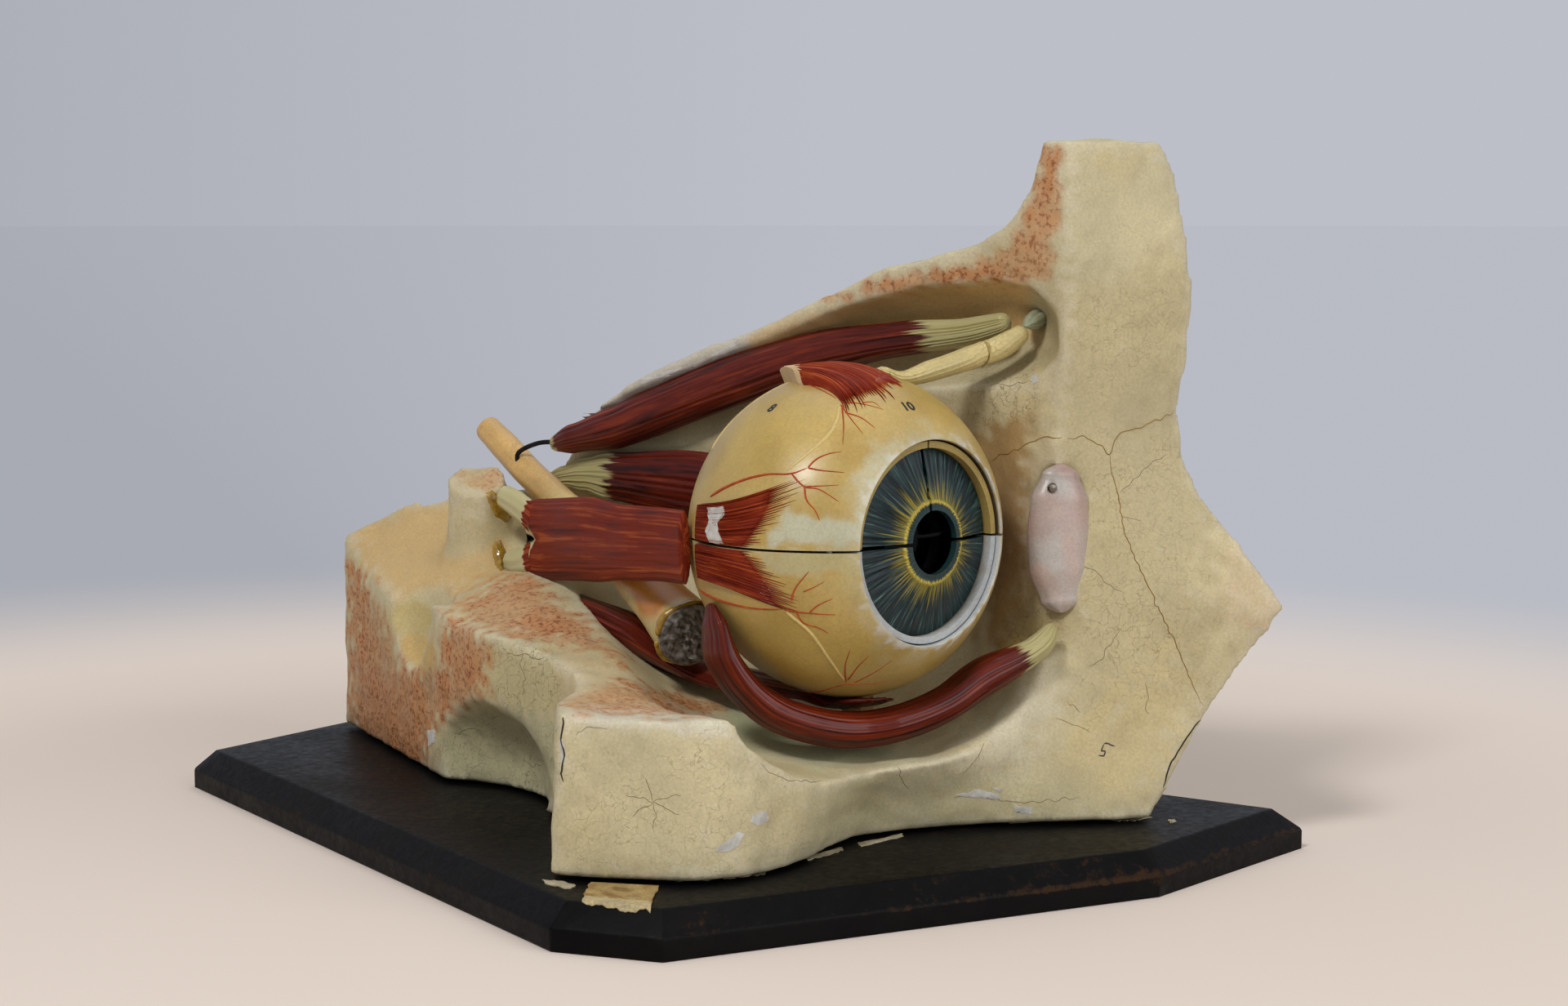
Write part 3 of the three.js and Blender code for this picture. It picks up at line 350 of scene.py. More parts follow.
def sheet(upper: Array, lower: Array, marks: dict[str, Array]) -> Skin:
    """Join the edges of two grids of points into a closed sheet.

    Args:
        upper: Rows and columns of points on its upper side.
        lower: The points below them.
        marks: Marks of the grid's points, which both sides get.

    Returns:
        The closed surface.
    """
    rows, columns = upper.shape[:2]
    count = rows * columns
    faces = grid_faces(rows, columns, wrap=False)
    edge = np.r_[np.arange(columns), np.arange(2 * columns - 1, count, columns),
                 np.arange(count - 2, count - columns - 1, -1),
                 np.arange(count - 2 * columns, 0, -columns)]
    following = np.roll(edge, -1)
    rim = np.stack([edge, following, following + count, edge + count], -1)
    points = np.concatenate([upper.reshape(-1, 3), lower.reshape(-1, 3)])
    both = {name: np.concatenate([values, values]) for name, values in marks.items()}
    return Skin(points, np.concatenate([faces, faces + count, rim]), both)


def through(stops: Array, t: Array) -> Array:
    """Follow the centripetal Catmull-Rom curve through stops.

    Each span is a cubic whose end slopes weigh the neighbouring stops by the square root of their
    distances, so that the curve doesn't overshoot.

    Args:
        stops: Points that the curve passes.
        t: Places on the curve, from 0 to 1, with equal shares for the spans.

    Returns:
        One point for each place.
    """
    p = np.concatenate([[2 * stops[0] - stops[1]], stops, [2 * stops[-1] - stops[-2]]])
    step = np.sqrt(np.maximum(np.linalg.norm(np.diff(p, axis=0), axis=1), 1e-6))
    whole = t * (len(stops) - 1)
    i = np.minimum(whole.astype(int), len(stops) - 2)
    w = (whole - i)[:, None]
    a, b, c, d = (p[i + k] for k in range(4))
    s, m, e = (step[i + k][:, None] for k in range(3))
    start = ((b - a) / s - (c - a) / (s + m) + (c - b) / m) * m
    end = ((c - b) / m - (d - b) / (m + e) + (d - c) / e) * m
    return b + start * w + (3 * (c - b) - 2 * start - end) * w**2 + (2 * (b - c) + start + end) * w**3


def between(values: Array, t: Array) -> Array:
    """Pass from stop value to stop value with a smooth start and end at each."""
    whole = t * (len(values) - 1)
    i = np.minimum(whole.astype(int), len(values) - 2)
    w = smoothstep(0, 1, whole - i)[:, None]
    return values[i] * (1 - w) + values[i + 1] * w


Stops = Sequence[tuple[Sequence[float], float, float]]
Relief = Callable[[Array, Array], Array]


def upwards(points: Array) -> Array:
    """Point up at every place."""
    return np.tile([0.0, 0.0, 1.0], (len(points), 1))


def towards_nose(points: Array) -> Array:
    """Point towards the nose at every place."""
    return np.tile([1.0, 0.0, 0.0], (len(points), 1))


def sideways(points: Array) -> Array:
    """Point out through the temple at every place."""
    return np.tile([-0.86, 0.5, 0.0], (len(points), 1))


def from_globe(points: Array) -> Array:
    """Point away from the middle of the globe."""
    return unit(points - GLOBE.centre)


def sweep(
    stops: Stops, facing: Callable[[Array], Array], rows: int = 150, columns: int = 112,
    relief: Relief | None = None, tips: tuple[float, float] = (0.03, 0.03),
) -> Skin:
    """Carry an oval along a smooth path, with rounded ends.

    The oval's point at angle a lies at half width times cos a to the side and half thickness
    times sin a outwards. Towards an end both shrink as the height of a quarter circle.

    Args:
        stops: Point, half width and half thickness at each stop of the path.
        facing: Gives the outward direction at the points of the path.
        rows: Points along the path.
        columns: Points round it.
        relief: Gives the height of the relief from the angle and the way along, in millimetres.
        tips: Share of the path that each rounded end takes.

    Returns:
        The surface, with the mark "fibre": its way round, twice, and its way along.
    """
    x = np.linspace(0, 1, rows)
    t = 0.6 * x + 0.4 * (0.5 - 0.5 * np.cos(np.pi * x))
    centres = through(np.array([stop[0] for stop in stops], float), t)
    sizes = between(np.array([stop[1:] for stop in stops], float), t)
    tangent = unit(np.gradient(centres, axis=0))
    side = unit(np.cross(tangent, facing(centres)))
    out = np.cross(side, tangent)
    run = np.concatenate([[0], np.cumsum(np.linalg.norm(np.diff(centres, axis=0), axis=1))])
    close = np.minimum(np.clip(t / tips[0], 0, 1), np.clip((1 - t) / tips[1], 0, 1))
    shrink = np.sqrt(np.maximum(1 - (1 - close) ** 2, 0))[:, None]
    angle = np.linspace(0, 2 * np.pi, columns, endpoint=False)[None, :] + np.zeros((rows, 1))
    along = run[:, None] + np.zeros((1, columns))
    height = relief(angle, along) if relief else np.zeros_like(angle)
    wide = (sizes[:, :1] * shrink)[:, :, None] * (np.cos(angle)[..., None] * side[:, None])
    thick = (sizes[:, 1:] * shrink)[:, :, None] * (np.sin(angle)[..., None] * out[:, None])
    points = centres[:, None] + wide + thick
    points += unit(wide / sizes[:, :1, None] + thick / sizes[:, 1:, None]) * (height * shrink)[..., None]
    mean = float(sizes.mean())
    fibre = np.stack([mean * np.cos(angle), mean * np.sin(angle), along], -1)
    return Skin(points.reshape(-1, 3), grid_faces(rows, columns), {"fibre": fibre.reshape(-1, 3)})


def strands(count: int, height: float, seed: int, waves: int = 14) -> Relief:
    """Give a relief of fibres: waves round the muscle whose phases drift along it.

    Args:
        count: Usual number of fibres round the muscle.
        height: Spread of the relief in millimetres.
        seed: Seed of the phases.
        waves: Number of waves that are added up.

    Returns:
        Function of the angle and the way along.
    """
    rng = np.random.default_rng(seed)
    numbers = rng.integers(count // 2, count * 3 // 2, waves)
    phases, drifts = rng.uniform(0, 2 * np.pi, (2, waves))
    lengths = rng.uniform(25, 70, waves)

    def relief(angle: Array, along: Array) -> Array:
        """Add up the waves at an angle and a way along."""
        parts = [
            np.sin(n * angle + p + 1.4 * np.sin(along / size + d))
            for n, p, d, size in zip(numbers, phases, drifts, lengths)
        ]
        return height * np.sum(parts, axis=0) / math.sqrt(waves / 2)

    return relief


class Sector(Enum):
    """Parts into which the shells of the globe are cut."""

    UPPER = "upper"
    LOWER = "lower"
    UPPER_NASAL = "upper_nasal"
    UPPER_TEMPORAL = "upper_temporal"
    WHOLE = "whole"

    def limits(self, radius: Array, offset: Array, gap: float) -> tuple[Array, Array]:
        """Give the first and last angle, from the nose upwards, that leave a gap at each cut."""
        level = np.arcsin(np.clip(gap / radius, -1, 1))
        nasal = np.arccos(np.clip((gap - offset) / radius, -1, 1))
        temporal = np.arccos(np.clip((-gap - offset) / radius, -1, 1))
        return {
            Sector.UPPER: (level, np.pi - level),
            Sector.LOWER: (np.pi + level, 2 * np.pi - level),
            Sector.UPPER_NASAL: (level, nasal),
            Sector.UPPER_TEMPORAL: (temporal, np.pi - level),
            Sector.WHOLE: (0 * level, 2 * np.pi + 0 * level),
        }[self]


def turned(profile: Array, sector: Sector, columns: int, gap: float = 0.45) -> tuple[Skin, Array]:
    """Turn a closed profile about the line of sight and keep one sector of it.

    A profile point with radius r, depth d and offset o lies at d along the sight, o + r cos a
    towards the nose and r sin a upwards, for the angles a between the sector's cuts.

    Args:
        profile: Radius, depth and offset of the points; the second half lies opposite the first.
        sector: Part that is kept.
        columns: Points between the cuts.
        gap: Half of the open joint at a cut, in millimetres.

    Returns:
        The surface, and the angle of each of its points.
    """
    radius, depth, offset = profile.T
    if sector is not Sector.WHOLE:
        radius = np.maximum(radius, gap * 1.4143)
    first, last = sector.limits(radius, offset, gap)
    share = np.linspace(0, 1, columns)[:, None]
    angle = first + (last - first) * share
    across = (offset + radius * np.cos(angle))[..., None] * GLOBE.nasal
    points = GLOBE.centre + depth[:, None] * GLOBE.sight + across
    points = points + (radius * np.sin(angle))[..., None] * np.array([0.0, 0.0, 1.0])
    count = len(profile)
    faces = [grid_faces(columns, count)]
    if sector is not Sector.WHOLE:
        i = np.arange(count // 2 - 1)
        cap = np.stack([i, i + 1, count - 2 - i, count - 1 - i], -1)
        faces += [cap, cap + (columns - 1) * count]
    return Skin(points.reshape(-1, 3), np.concatenate(faces)), angle.ravel()


def shell_arc(radius: float, start: float, end: float, count: int) -> Array:
    """Give profile points of a shell between two angles from the line of sight, in degrees."""
    angle = np.radians(np.linspace(start, end, count))
    flat = GLOBE.radius - GLOBE.depth
    depth = np.where(np.cos(angle) > 0, radius - flat, radius) * np.cos(angle)
    return np.stack([radius * np.sin(angle), depth, 0 * angle], -1)


def tube_on_globe(directions: Array, start: float, end: float, rise: float = 0.0) -> Skin:
    """Lay a thin round tube on the globe along directions, from one radius to another."""
    t = np.linspace(0, 1, max(8, 6 * len(directions)))
    path = GLOBE.at(through(directions, t), np.zeros(len(t)) + rise)
    stops = [(point, radius, radius) for point, radius in zip(path, np.linspace(start, end, len(t)))]
    return sweep(stops, from_globe, rows=len(t), columns=8, tips=(0.1, 0.1)).marked()


# Finishes


def feed(tree: bpy.types.NodeTree, node: bpy.types.Node, inputs: dict[str | int, object]) -> None:
    """Link the inputs of a node to sockets, or set their values."""
    for key, value in inputs.items():
        if isinstance(value, bpy.types.NodeSocket):
            tree.links.new(value, node.inputs[key])
        else:
            node.inputs[key].default_value = value


def add_node(
    tree: bpy.types.NodeTree, kind: str, inputs: dict[str | int, object] | None = None, **settings: object
) -> bpy.types.Node:
    """Add a node, with its settings and what goes into it.

    Args:
        tree: Node tree of a material or the world.
        kind: Blender's type name of the node, after "ShaderNode".
        inputs: Sockets to link, or values to set, by socket name or place.
        **settings: Properties of the node; stops sets the colours of a ramp.

    Returns:
        The new node.
    """
    made = tree.nodes.new(f"ShaderNode{kind}")
    for name, value in settings.items():
        if name == "stops":
            ramp = made.color_ramp
            while len(ramp.elements) < len(value):
                ramp.elements.new(0.5)
            for element, (place, colour) in zip(ramp.elements, value):
                element.position = place
                element.color = linear(colour)
        else:
            setattr(made, name, value)
    feed(tree, made, inputs or {})
    return made


Socket = bpy.types.NodeSocket


@dataclass
class Graph:
    """Node tree, with short ways to the nodes that the finishes and the studio share."""

    tree: bpy.types.NodeTree

    def node(
        self, kind: str, inputs: dict[str | int, object] | None = None, output: int | str = 0,
        **settings: object,
    ) -> Socket:
        """Add a node and give one of its outputs."""
        return add_node(self.tree, kind, inputs, **settings).outputs[output]

    def mark(self, name: str, output: str = "Fac") -> Socket:
        """Read a mark of the points."""
        return self.node("Attribute", None, output, attribute_name=name)

    def place(self, output: str = "Object") -> Socket:
        """Give the place on the piece in metres, or another of its coordinates."""
        return self.node("TexCoord", None, output)

    def stretched(self, vector: Socket, scale: tuple[float, float, float], turn: float = 0.0) -> Socket:
        """Turn a vector about the upright, in radians, and scale it along each axis."""
        return self.node("Mapping", {"Vector": vector, "Rotation": (0.0, 0.0, turn), "Scale": scale})

    def noise(
        self, vector: Socket, scale: float, detail: float, roughness: float = 0.5, output: int | str = 0
    ) -> Socket:
        """Give a soft random pattern, with so many waves to a unit of the vector."""
        inputs = {"Vector": vector, "Scale": scale, "Detail": detail, "Roughness": roughness}
        return self.node("TexNoise", inputs, output)

    def ranged(
        self, value: Socket, low: float, high: float, first: float = 0.0, last: float = 1.0,
        **settings: object,
    ) -> Socket:
        """Carry a value from the range low to high over to the range first to last."""
        inputs = {"Value": value, "From Min": low, "From Max": high, "To Min": first, "To Max": last}
        return self.node("MapRange", inputs, **settings)

    def maths(self, operation: str, *values: Socket | float, clamp: bool = False) -> Socket:
        """Work with numbers by one of Blender's operations."""
        return self.node("Math", dict(enumerate(values)), operation=operation, use_clamp=clamp)

    def mix(self, share: Socket, first: Socket | str, second: Socket | str) -> Socket:
        """Mix two colours, each a socket or an sRGB hex colour."""
        first, second = (linear(c) if isinstance(c, str) else c for c in (first, second))
        return self.node("Mix", {"Factor": share, 6: first, 7: second}, 2, data_type="RGBA")

    def ramp(self, value: Socket, *stops: tuple[float, str]) -> Socket:
        """Give the colour that belongs to a value between the stops."""
        return self.node("ValToRGB", {"Fac": value}, stops=stops)

    def bump(self, height: Socket, strength: float, distance: float) -> Socket:
        """Give the normal of a relief that is so many metres deep."""
        return self.node("Bump", {"Height": height, "Strength": strength, "Distance": distance})


def blank(name: str) -> tuple[bpy.types.Material, Graph, bpy.types.Node]:
    """Give a new material with its node tree and its one Principled shader."""
    material = bpy.data.materials.new(name)
    material.use_nodes = True
    graph = Graph(material.node_tree)
    return material, graph, next(n for n in graph.tree.nodes if n.type == "BSDF_PRINCIPLED")


@dataclass(frozen=True)
class BrushedPaint:
    """Oil paint on plaster, brushed along the fibres of a muscle and varnished.

    The eye gets short dark and pale strokes, a soft relief and a wet, uneven shine.
    """

    name: str
    deep: str = "#3a0f0b"
    body: str = "#712015"
    stroke: str = "#9a3c27"
    bare: str = "#b9a36a"
    pale: str = "#cfc698"
    stroke_mm: float = 1.3
    stroke_length_mm: float = 30.0
    shine: float = 0.8
    roughness: float = 0.38

    def make(self) -> bpy.types.Material:
        """Build the material, which reads the marks "fibre" and "tendon"."""
        material, g, shader = blank(self.name)
        fibre = g.mark("fibre", "Vector")
        across, along = 1 / self.stroke_mm, 1 / self.stroke_length_mm
        strokes = g.noise(g.stretched(fibre, (across, across, along)), 0.55, 4.0, 0.65)
        broad = g.noise(g.stretched(fibre, (0.09, 0.09, 0.03)), 1.0, 3.0)
        tone = g.maths("MULTIPLY_ADD", strokes, 1.1, g.maths("MULTIPLY", broad, 0.5))
        coat = g.ramp(tone, (0.62, self.deep), (0.77, self.body), (0.84, self.body), (0.95, self.stroke))
        frayed = g.maths("MULTIPLY_ADD", strokes, 0.9, g.mark("tendon"))
        colour = g.mix(g.ranged(frayed, 0.9, 1.0), coat, g.mix(broad, self.bare, self.pale))
        feed(g.tree, shader, {
            "Base Color": colour,
            "Roughness": g.ranged(broad, 0.3, 0.7, self.roughness - 0.08, self.roughness + 0.14),
            "Normal": g.bump(strokes, 0.55, 0.0006),
            "Specular IOR Level": 0.08, "Coat Weight": self.shine, "Coat Roughness": 0.07,
        })
        return material


@dataclass(frozen=True)
class AgedPaint:
    """Oil paint on cast plaster, a century old: mottled, crazed and dusty.

    The colour itself is the mark "tint"; the eye gets blotches over it, a net of fine cracks, a
    sandy grain, and pores where the mark "cut" shows sawn bone.
    """

    name: str
    tint: str | None = None
    blotch_mm: float = 26.0
    blotch: float = 0.14
    speck: float = 0.12
    crack_mm: float = 5.5
    crack: float = 0.16
    crack_colour: str = "#5a4a2c"
    grain_mm: float = 1.1
    grain_height_mm: float = 0.12
    roughness: float = 0.62
    shine: float = 0.0
    bone: str = "#bd8452"
    pore: str = "#82401d"
    pore_mm: float = 1.9

    def make(self) -> bpy.types.Material:
        """Build the material, which reads the marks "tint", "cut" and "crazed"."""
        material, g, shader = blank(self.name)
        place, per_metre = g.place(), 1 / MM
        base = linear(self.tint)[:3] if self.tint else g.mark("tint", "Color")
        blotch = g.noise(place, per_metre / self.blotch_mm, 5.0, 0.6)
        shade = g.ranged(blotch, 0.3, 0.7, 1 - self.blotch, 1 + self.blotch * 0.45)
        speck = g.noise(place, per_metre / self.grain_mm, 3.0, 0.7)
        fleck = g.ranged(speck, 0.3, 0.7, 1 - self.speck, 1 + self.speck)
        aged = g.node("VectorMath", {0: base, 3: g.maths("MULTIPLY", shade, fleck)}, operation="SCALE")

        bend = g.noise(place, per_metre / self.crack_mm * 0.8, 3.0, output="Color")
        warp = g.node("VectorMath", {0: bend, 1: (0.014,) * 3, 2: place}, operation="MULTIPLY_ADD")
        cells = {"Vector": warp, "Scale": per_metre / self.crack_mm}
        edge = g.node("TexVoronoi", cells, "Distance", feature="DISTANCE_TO_EDGE")
        some = g.maths("ADD", g.ranged(blotch, 0.48, 0.62, 0.0, self.crack), g.mark("crazed"))
        split = g.maths("MULTIPLY", g.ranged(edge, 0.008, 0.03, 1.0, 0.0), some, clamp=True)
        cracked = g.mix(split, aged, self.crack_colour)

        wash = g.maths("MULTIPLY", g.mark("cut"), g.ranged(blotch, 0.34, 0.6, 0.45, 1.0))
        dots = g.noise(place, per_metre / self.pore_mm, 2.0, 0.55)
        pitted = g.maths("MULTIPLY", g.ranged(dots, 0.5, 0.64, 0.0, 0.85), wash)
        low = g.maths("MULTIPLY_ADD", pitted, -1.6, speck)
        height = g.maths("MULTIPLY_ADD", split, -2.0, low)
        feed(g.tree, shader, {
            "Base Color": g.mix(pitted, g.mix(wash, cracked, self.bone), self.pore),
            "Roughness": g.ranged(blotch, 0.3, 0.7, self.roughness - 0.1, self.roughness + 0.1),
            "Normal": g.bump(height, 0.8, self.grain_height_mm * MM),
            "Coat Weight": self.shine, "Coat Roughness": 0.3,
        })
        return material


@dataclass(frozen=True)
class IrisPaint:
    """Oil paint on the moulded iris: blue-green ground with brushed yellow rays, varnished.

    A dark ring and a thin yellow one lie round the pupil, their edges jagged by the rays.
    """

    name: str = "iris_oil_paint"
    edge: str = "#061417"
    ground: str = "#0c2327"
    middle: str = "#1d423f"
    streak: str = "#6c8d80"
    ray: str = "#9c8a2a"
    dark_ring: str = "#1c3434"
    yellow_ring: str = "#b9a544"

    def make(self) -> bpy.types.Material:
        """Build the material, which reads the mark "polar": cosine, sine and way out."""
        material, g, shader = blank(self.name)
        off, on = "#000000", "#ffffff"
        polar = g.mark("polar", "Vector")
        out = g.node("SeparateXYZ", {"Vector": polar}, 2)
        streaks = g.noise(g.stretched(polar, (46.0, 46.0, 1.6)), 1.0, 4.0, 0.65)
        colours = (self.edge, self.ground, self.middle, self.streak)
        cool = g.ramp(streaks, *zip((0.4, 0.52, 0.6, 0.74), colours))
        beam = g.noise(g.stretched(polar, (40.0, 40.0, 0.9)), 1.0, 3.0, 0.6)
        warm = g.maths("ADD", beam, g.ranged(out, 0.14, 0.78, 0.12, -0.2))
        lit = g.mix(g.ranged(warm, 0.5, 0.64, 0.0, 0.85), cool, self.ray)
        jag = g.maths("MULTIPLY_ADD", beam, 0.14, out)
        ring = g.ramp(jag, (0.0, off), (0.17, off), (0.2, on), (1.0, on))
        band = g.ramp(jag, (0.0, off), (0.18, off), (0.205, on), (0.225, on), (0.25, off))
        feed(g.tree, shader, {
            "Base Color": g.mix(band, g.mix(ring, self.dark_ring, lit), self.yellow_ring),
            "Normal": g.bump(streaks, 0.6, 0.0005),
            "Roughness": 0.38, "Specular IOR Level": 0.25, "Coat Weight": 0.15, "Coat Roughness": 0.12,
        })
        return material


@dataclass(frozen=True)
class EbonisedWood:
    """Softwood board stained black and varnished, rubbed brown where hands have worn it."""

    name: str = "ebonised_board_varnish"
    stain: tuple[str, str, str] = ("#050405", "#0a0909", "#15120f")
    bare: str = "#3f2a14"
    grain_turn: float = 0.33

    def make(self) -> bpy.types.Material:
        """Build the material, which reads the mark "worn"."""
        material, g, shader = blank(self.name)
        place = g.place()
        grain = g.noise(g.stretched(place, (1.0, 0.06, 1.0), self.grain_turn), 420.0, 4.0, 0.6)
        smear = g.noise(place, 22.0, 6.0, 0.7)
        fine = g.noise(place, 260.0, 5.0, 0.75)
        rub = g.maths("ADD", fine, smear)
        worn = g.ranged(g.maths("MULTIPLY_ADD", g.mark("worn"), 0.36, rub), 1.24, 1.42, 0.0, 0.6)
        black = g.ramp(smear, *zip((0.35, 0.55, 0.75), self.stain))
        feed(g.tree, shader, {
            "Base Color": g.mix(worn, black, self.bare),
            "Roughness": g.ranged(rub, 0.75, 1.25, 0.34, 0.6),
            "Normal": g.bump(g.maths("ADD", grain, fine), 0.35, 0.0003),
            "Specular IOR Level": 0.08,
        })
        return material


@dataclass(frozen=True)
class PlainMatter:
    """Plain metal, glass, glue or paper with a little unevenness in its colour and shine."""

    name: str
    colour: str
    other: str
    grain_mm: float = 4.0
    roughness: float = 0.5
    metallic: float = 0.0
    transmission: float = 0.0
    ior: float = 1.5
    shine: float = 0.0
    bump_mm: float = 0.05

    def make(self) -> bpy.types.Material:
        """Build the material from two colours that a noise of the grain's size mixes."""
        material, g, shader = blank(self.name)
        noise = g.noise(g.place(), 1 / (self.grain_mm * MM), 5.0, 0.65)
        smooth, rough = max(self.roughness - 0.06, 0.02), self.roughness + 0.08
        feed(g.tree, shader, {
            "Base Color": g.mix(g.ranged(noise, 0.35, 0.65), self.colour, self.other),
            "Roughness": g.ranged(noise, 0.3, 0.7, smooth, rough),
            "Normal": g.bump(noise, 0.6, self.bump_mm * MM),
            "Metallic": self.metallic, "Transmission Weight": self.transmission, "Coat Weight": self.shine,
        })
        if not self.metallic:
            feed(g.tree, shader, {"IOR": self.ior})
        return material


Finish = BrushedPaint | AgedPaint | IrisPaint | EbonisedWood | PlainMatter
_made: dict[Finish, bpy.types.Material] = {}


def dress(piece: bpy.types.Object, finish: Finish) -> bpy.types.Object:
    """Give a piece its finish, building the material once."""
    if finish not in _made:
        _made[finish] = finish.make()
    piece.data.materials.clear()
    piece.data.materials.append(_made[finish])
    return piece


def fit(
    piece: bpy.types.Object, finish: Finish, body: Body, nodes: Sequence[str] = ()
) -> bpy.types.Object:
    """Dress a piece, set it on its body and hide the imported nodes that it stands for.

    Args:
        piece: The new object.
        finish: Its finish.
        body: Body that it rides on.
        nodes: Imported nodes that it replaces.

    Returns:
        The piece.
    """
    dress(piece, finish)
    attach(piece, body.value)
    if nodes:
        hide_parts(*nodes)
    log.info("%s: %d points on %s", piece.name, len(piece.data.vertices), body.value)
    return piece


# Zones of colour


@dataclass(frozen=True)
class Zone:
    """Patch of a surface, outlined in the photograph's pixels as the camera sees it.

    Attributes:
        outline: Corners of the patch in pixels.
        colour: Its colour, for a tint.
        strength: Greatest share of the colour.
        soft: Width in pixels over which the edge fades.
        facing: Direction that the surface faces there, or None for any.
        least: Least cosine between the surface's normal and facing.
    """

    outline: Pixels
    colour: str = "#ffffff"
    strength: float = 1.0
    soft: float = 14.0
    facing: tuple[float, float, float] | None = None
    least: float = 0.25

    def weight(self, points: Array, normals: Array) -> Array:
        """Give each point's share: 1 well inside the outline, 0 outside, faded between.

        The distance to the outline is the least distance to any of its sides, and a point is
        inside where a line from it crosses an odd number of sides. Points that face away from the
        camera get nothing.
        """
        seen = CAMERA.pixels(points)
        corners = np.asarray(self.outline, float)
        best, inside = np.full(len(points), np.inf), np.zeros(len(points), bool)
        for a, b in zip(corners, np.roll(corners, -1, axis=0)):
            side, away = b - a, seen - a
            t = np.clip(away @ side / max(side @ side, 1e-9), 0, 1)
            best = np.minimum(best, np.linalg.norm(away - t[:, None] * side, axis=1))
            cross = (a[1] > seen[:, 1]) != (b[1] > seen[:, 1])
            rise = np.where(abs(b[1] - a[1]) > 1e-9, b[1] - a[1], 1e-9)
            inside ^= cross & (seen[:, 0] < (b[0] - a[0]) * (seen[:, 1] - a[1]) / rise + a[0])
        near = np.where(inside, best, -best) + ripple(points, 9, 5) * self.soft * 0.25
        share = smoothstep(-self.soft / 2, self.soft / 2, near) * self.strength
        share *= smoothstep(-0.1, 0.15, (normals * CAMERA.towards(points)).sum(1))
        if self.facing is not None:
            turned_to = normals @ unit(np.array(self.facing))
            share *= smoothstep(self.least - 0.15, self.least + 0.15, turned_to)
        return share


def even(colour: str, count: int) -> Array:
    """Give so many points one tint."""
    return np.tile(linear(colour)[:3], (count, 1))


def paint(tint: Array, share: Array, colour: str) -> Array:
    """Mix a colour into tints by each point's share."""
    return tint + (np.array(linear(colour)[:3]) - tint) * share[:, None]


def smoothed(points: Array, edges: NDArray[np.int64], times: int, rate: float = 0.5) -> Array:
    """Move points towards the mean of their neighbours, a share at a time.

    Args:
        points: Places of the mesh's vertices.
        edges: Pairs of vertices.
        times: Number of rounds.
        rate: Share of the way in each round.

    Returns:
        The new places.
    """
    a, b = edges.T
    count = len(points)
    degree = np.maximum(np.bincount(a, minlength=count) + np.bincount(b, minlength=count), 1)
    for _ in range(times):
        total = np.stack(
            [np.bincount(a, points[b, k], count) + np.bincount(b, points[a, k], count) for k in range(3)], -1
        )
        points = points + rate * (total / degree[:, None] - points)
    return points


class Surface:
    """Finds the points of a piece that show at pixels of the photograph."""

    def __init__(self, piece: bpy.types.Object) -> None:
        """Index the faces of a piece."""
        self.tree = BVHTree.FromObject(piece, bpy.context.evaluated_depsgraph_get())

    def under(self, pixels: Pixels, steps: int = 0) -> tuple[Array, Array]:
        """Cast the pixels on the piece.

        Args:
            pixels: Corners of a line in the photograph.
            steps: Number of points to spread evenly along the line first, or 0 for its corners.

        Returns:
            The points that are hit and the normals there; pixels that miss are left out.
        """
        line = np.asarray(pixels, float)
        if steps:
            line = through(np.c_[line, 0 * line[:, 0]], np.linspace(0, 1, steps))[:, :2]
        eye = Vector((np.array(CAMERA.place) + AXIS) * MM)
        hits = [self.tree.ray_cast(eye, Vector(ray)) for ray in CAMERA.rays(line)]
        found = [(np.array(p) / MM - AXIS, np.array(n)) for p, n, _, _ in hits if p is not None]
        return np.array([p for p, _ in found]), np.array([n for _, n in found])


# Assemblies


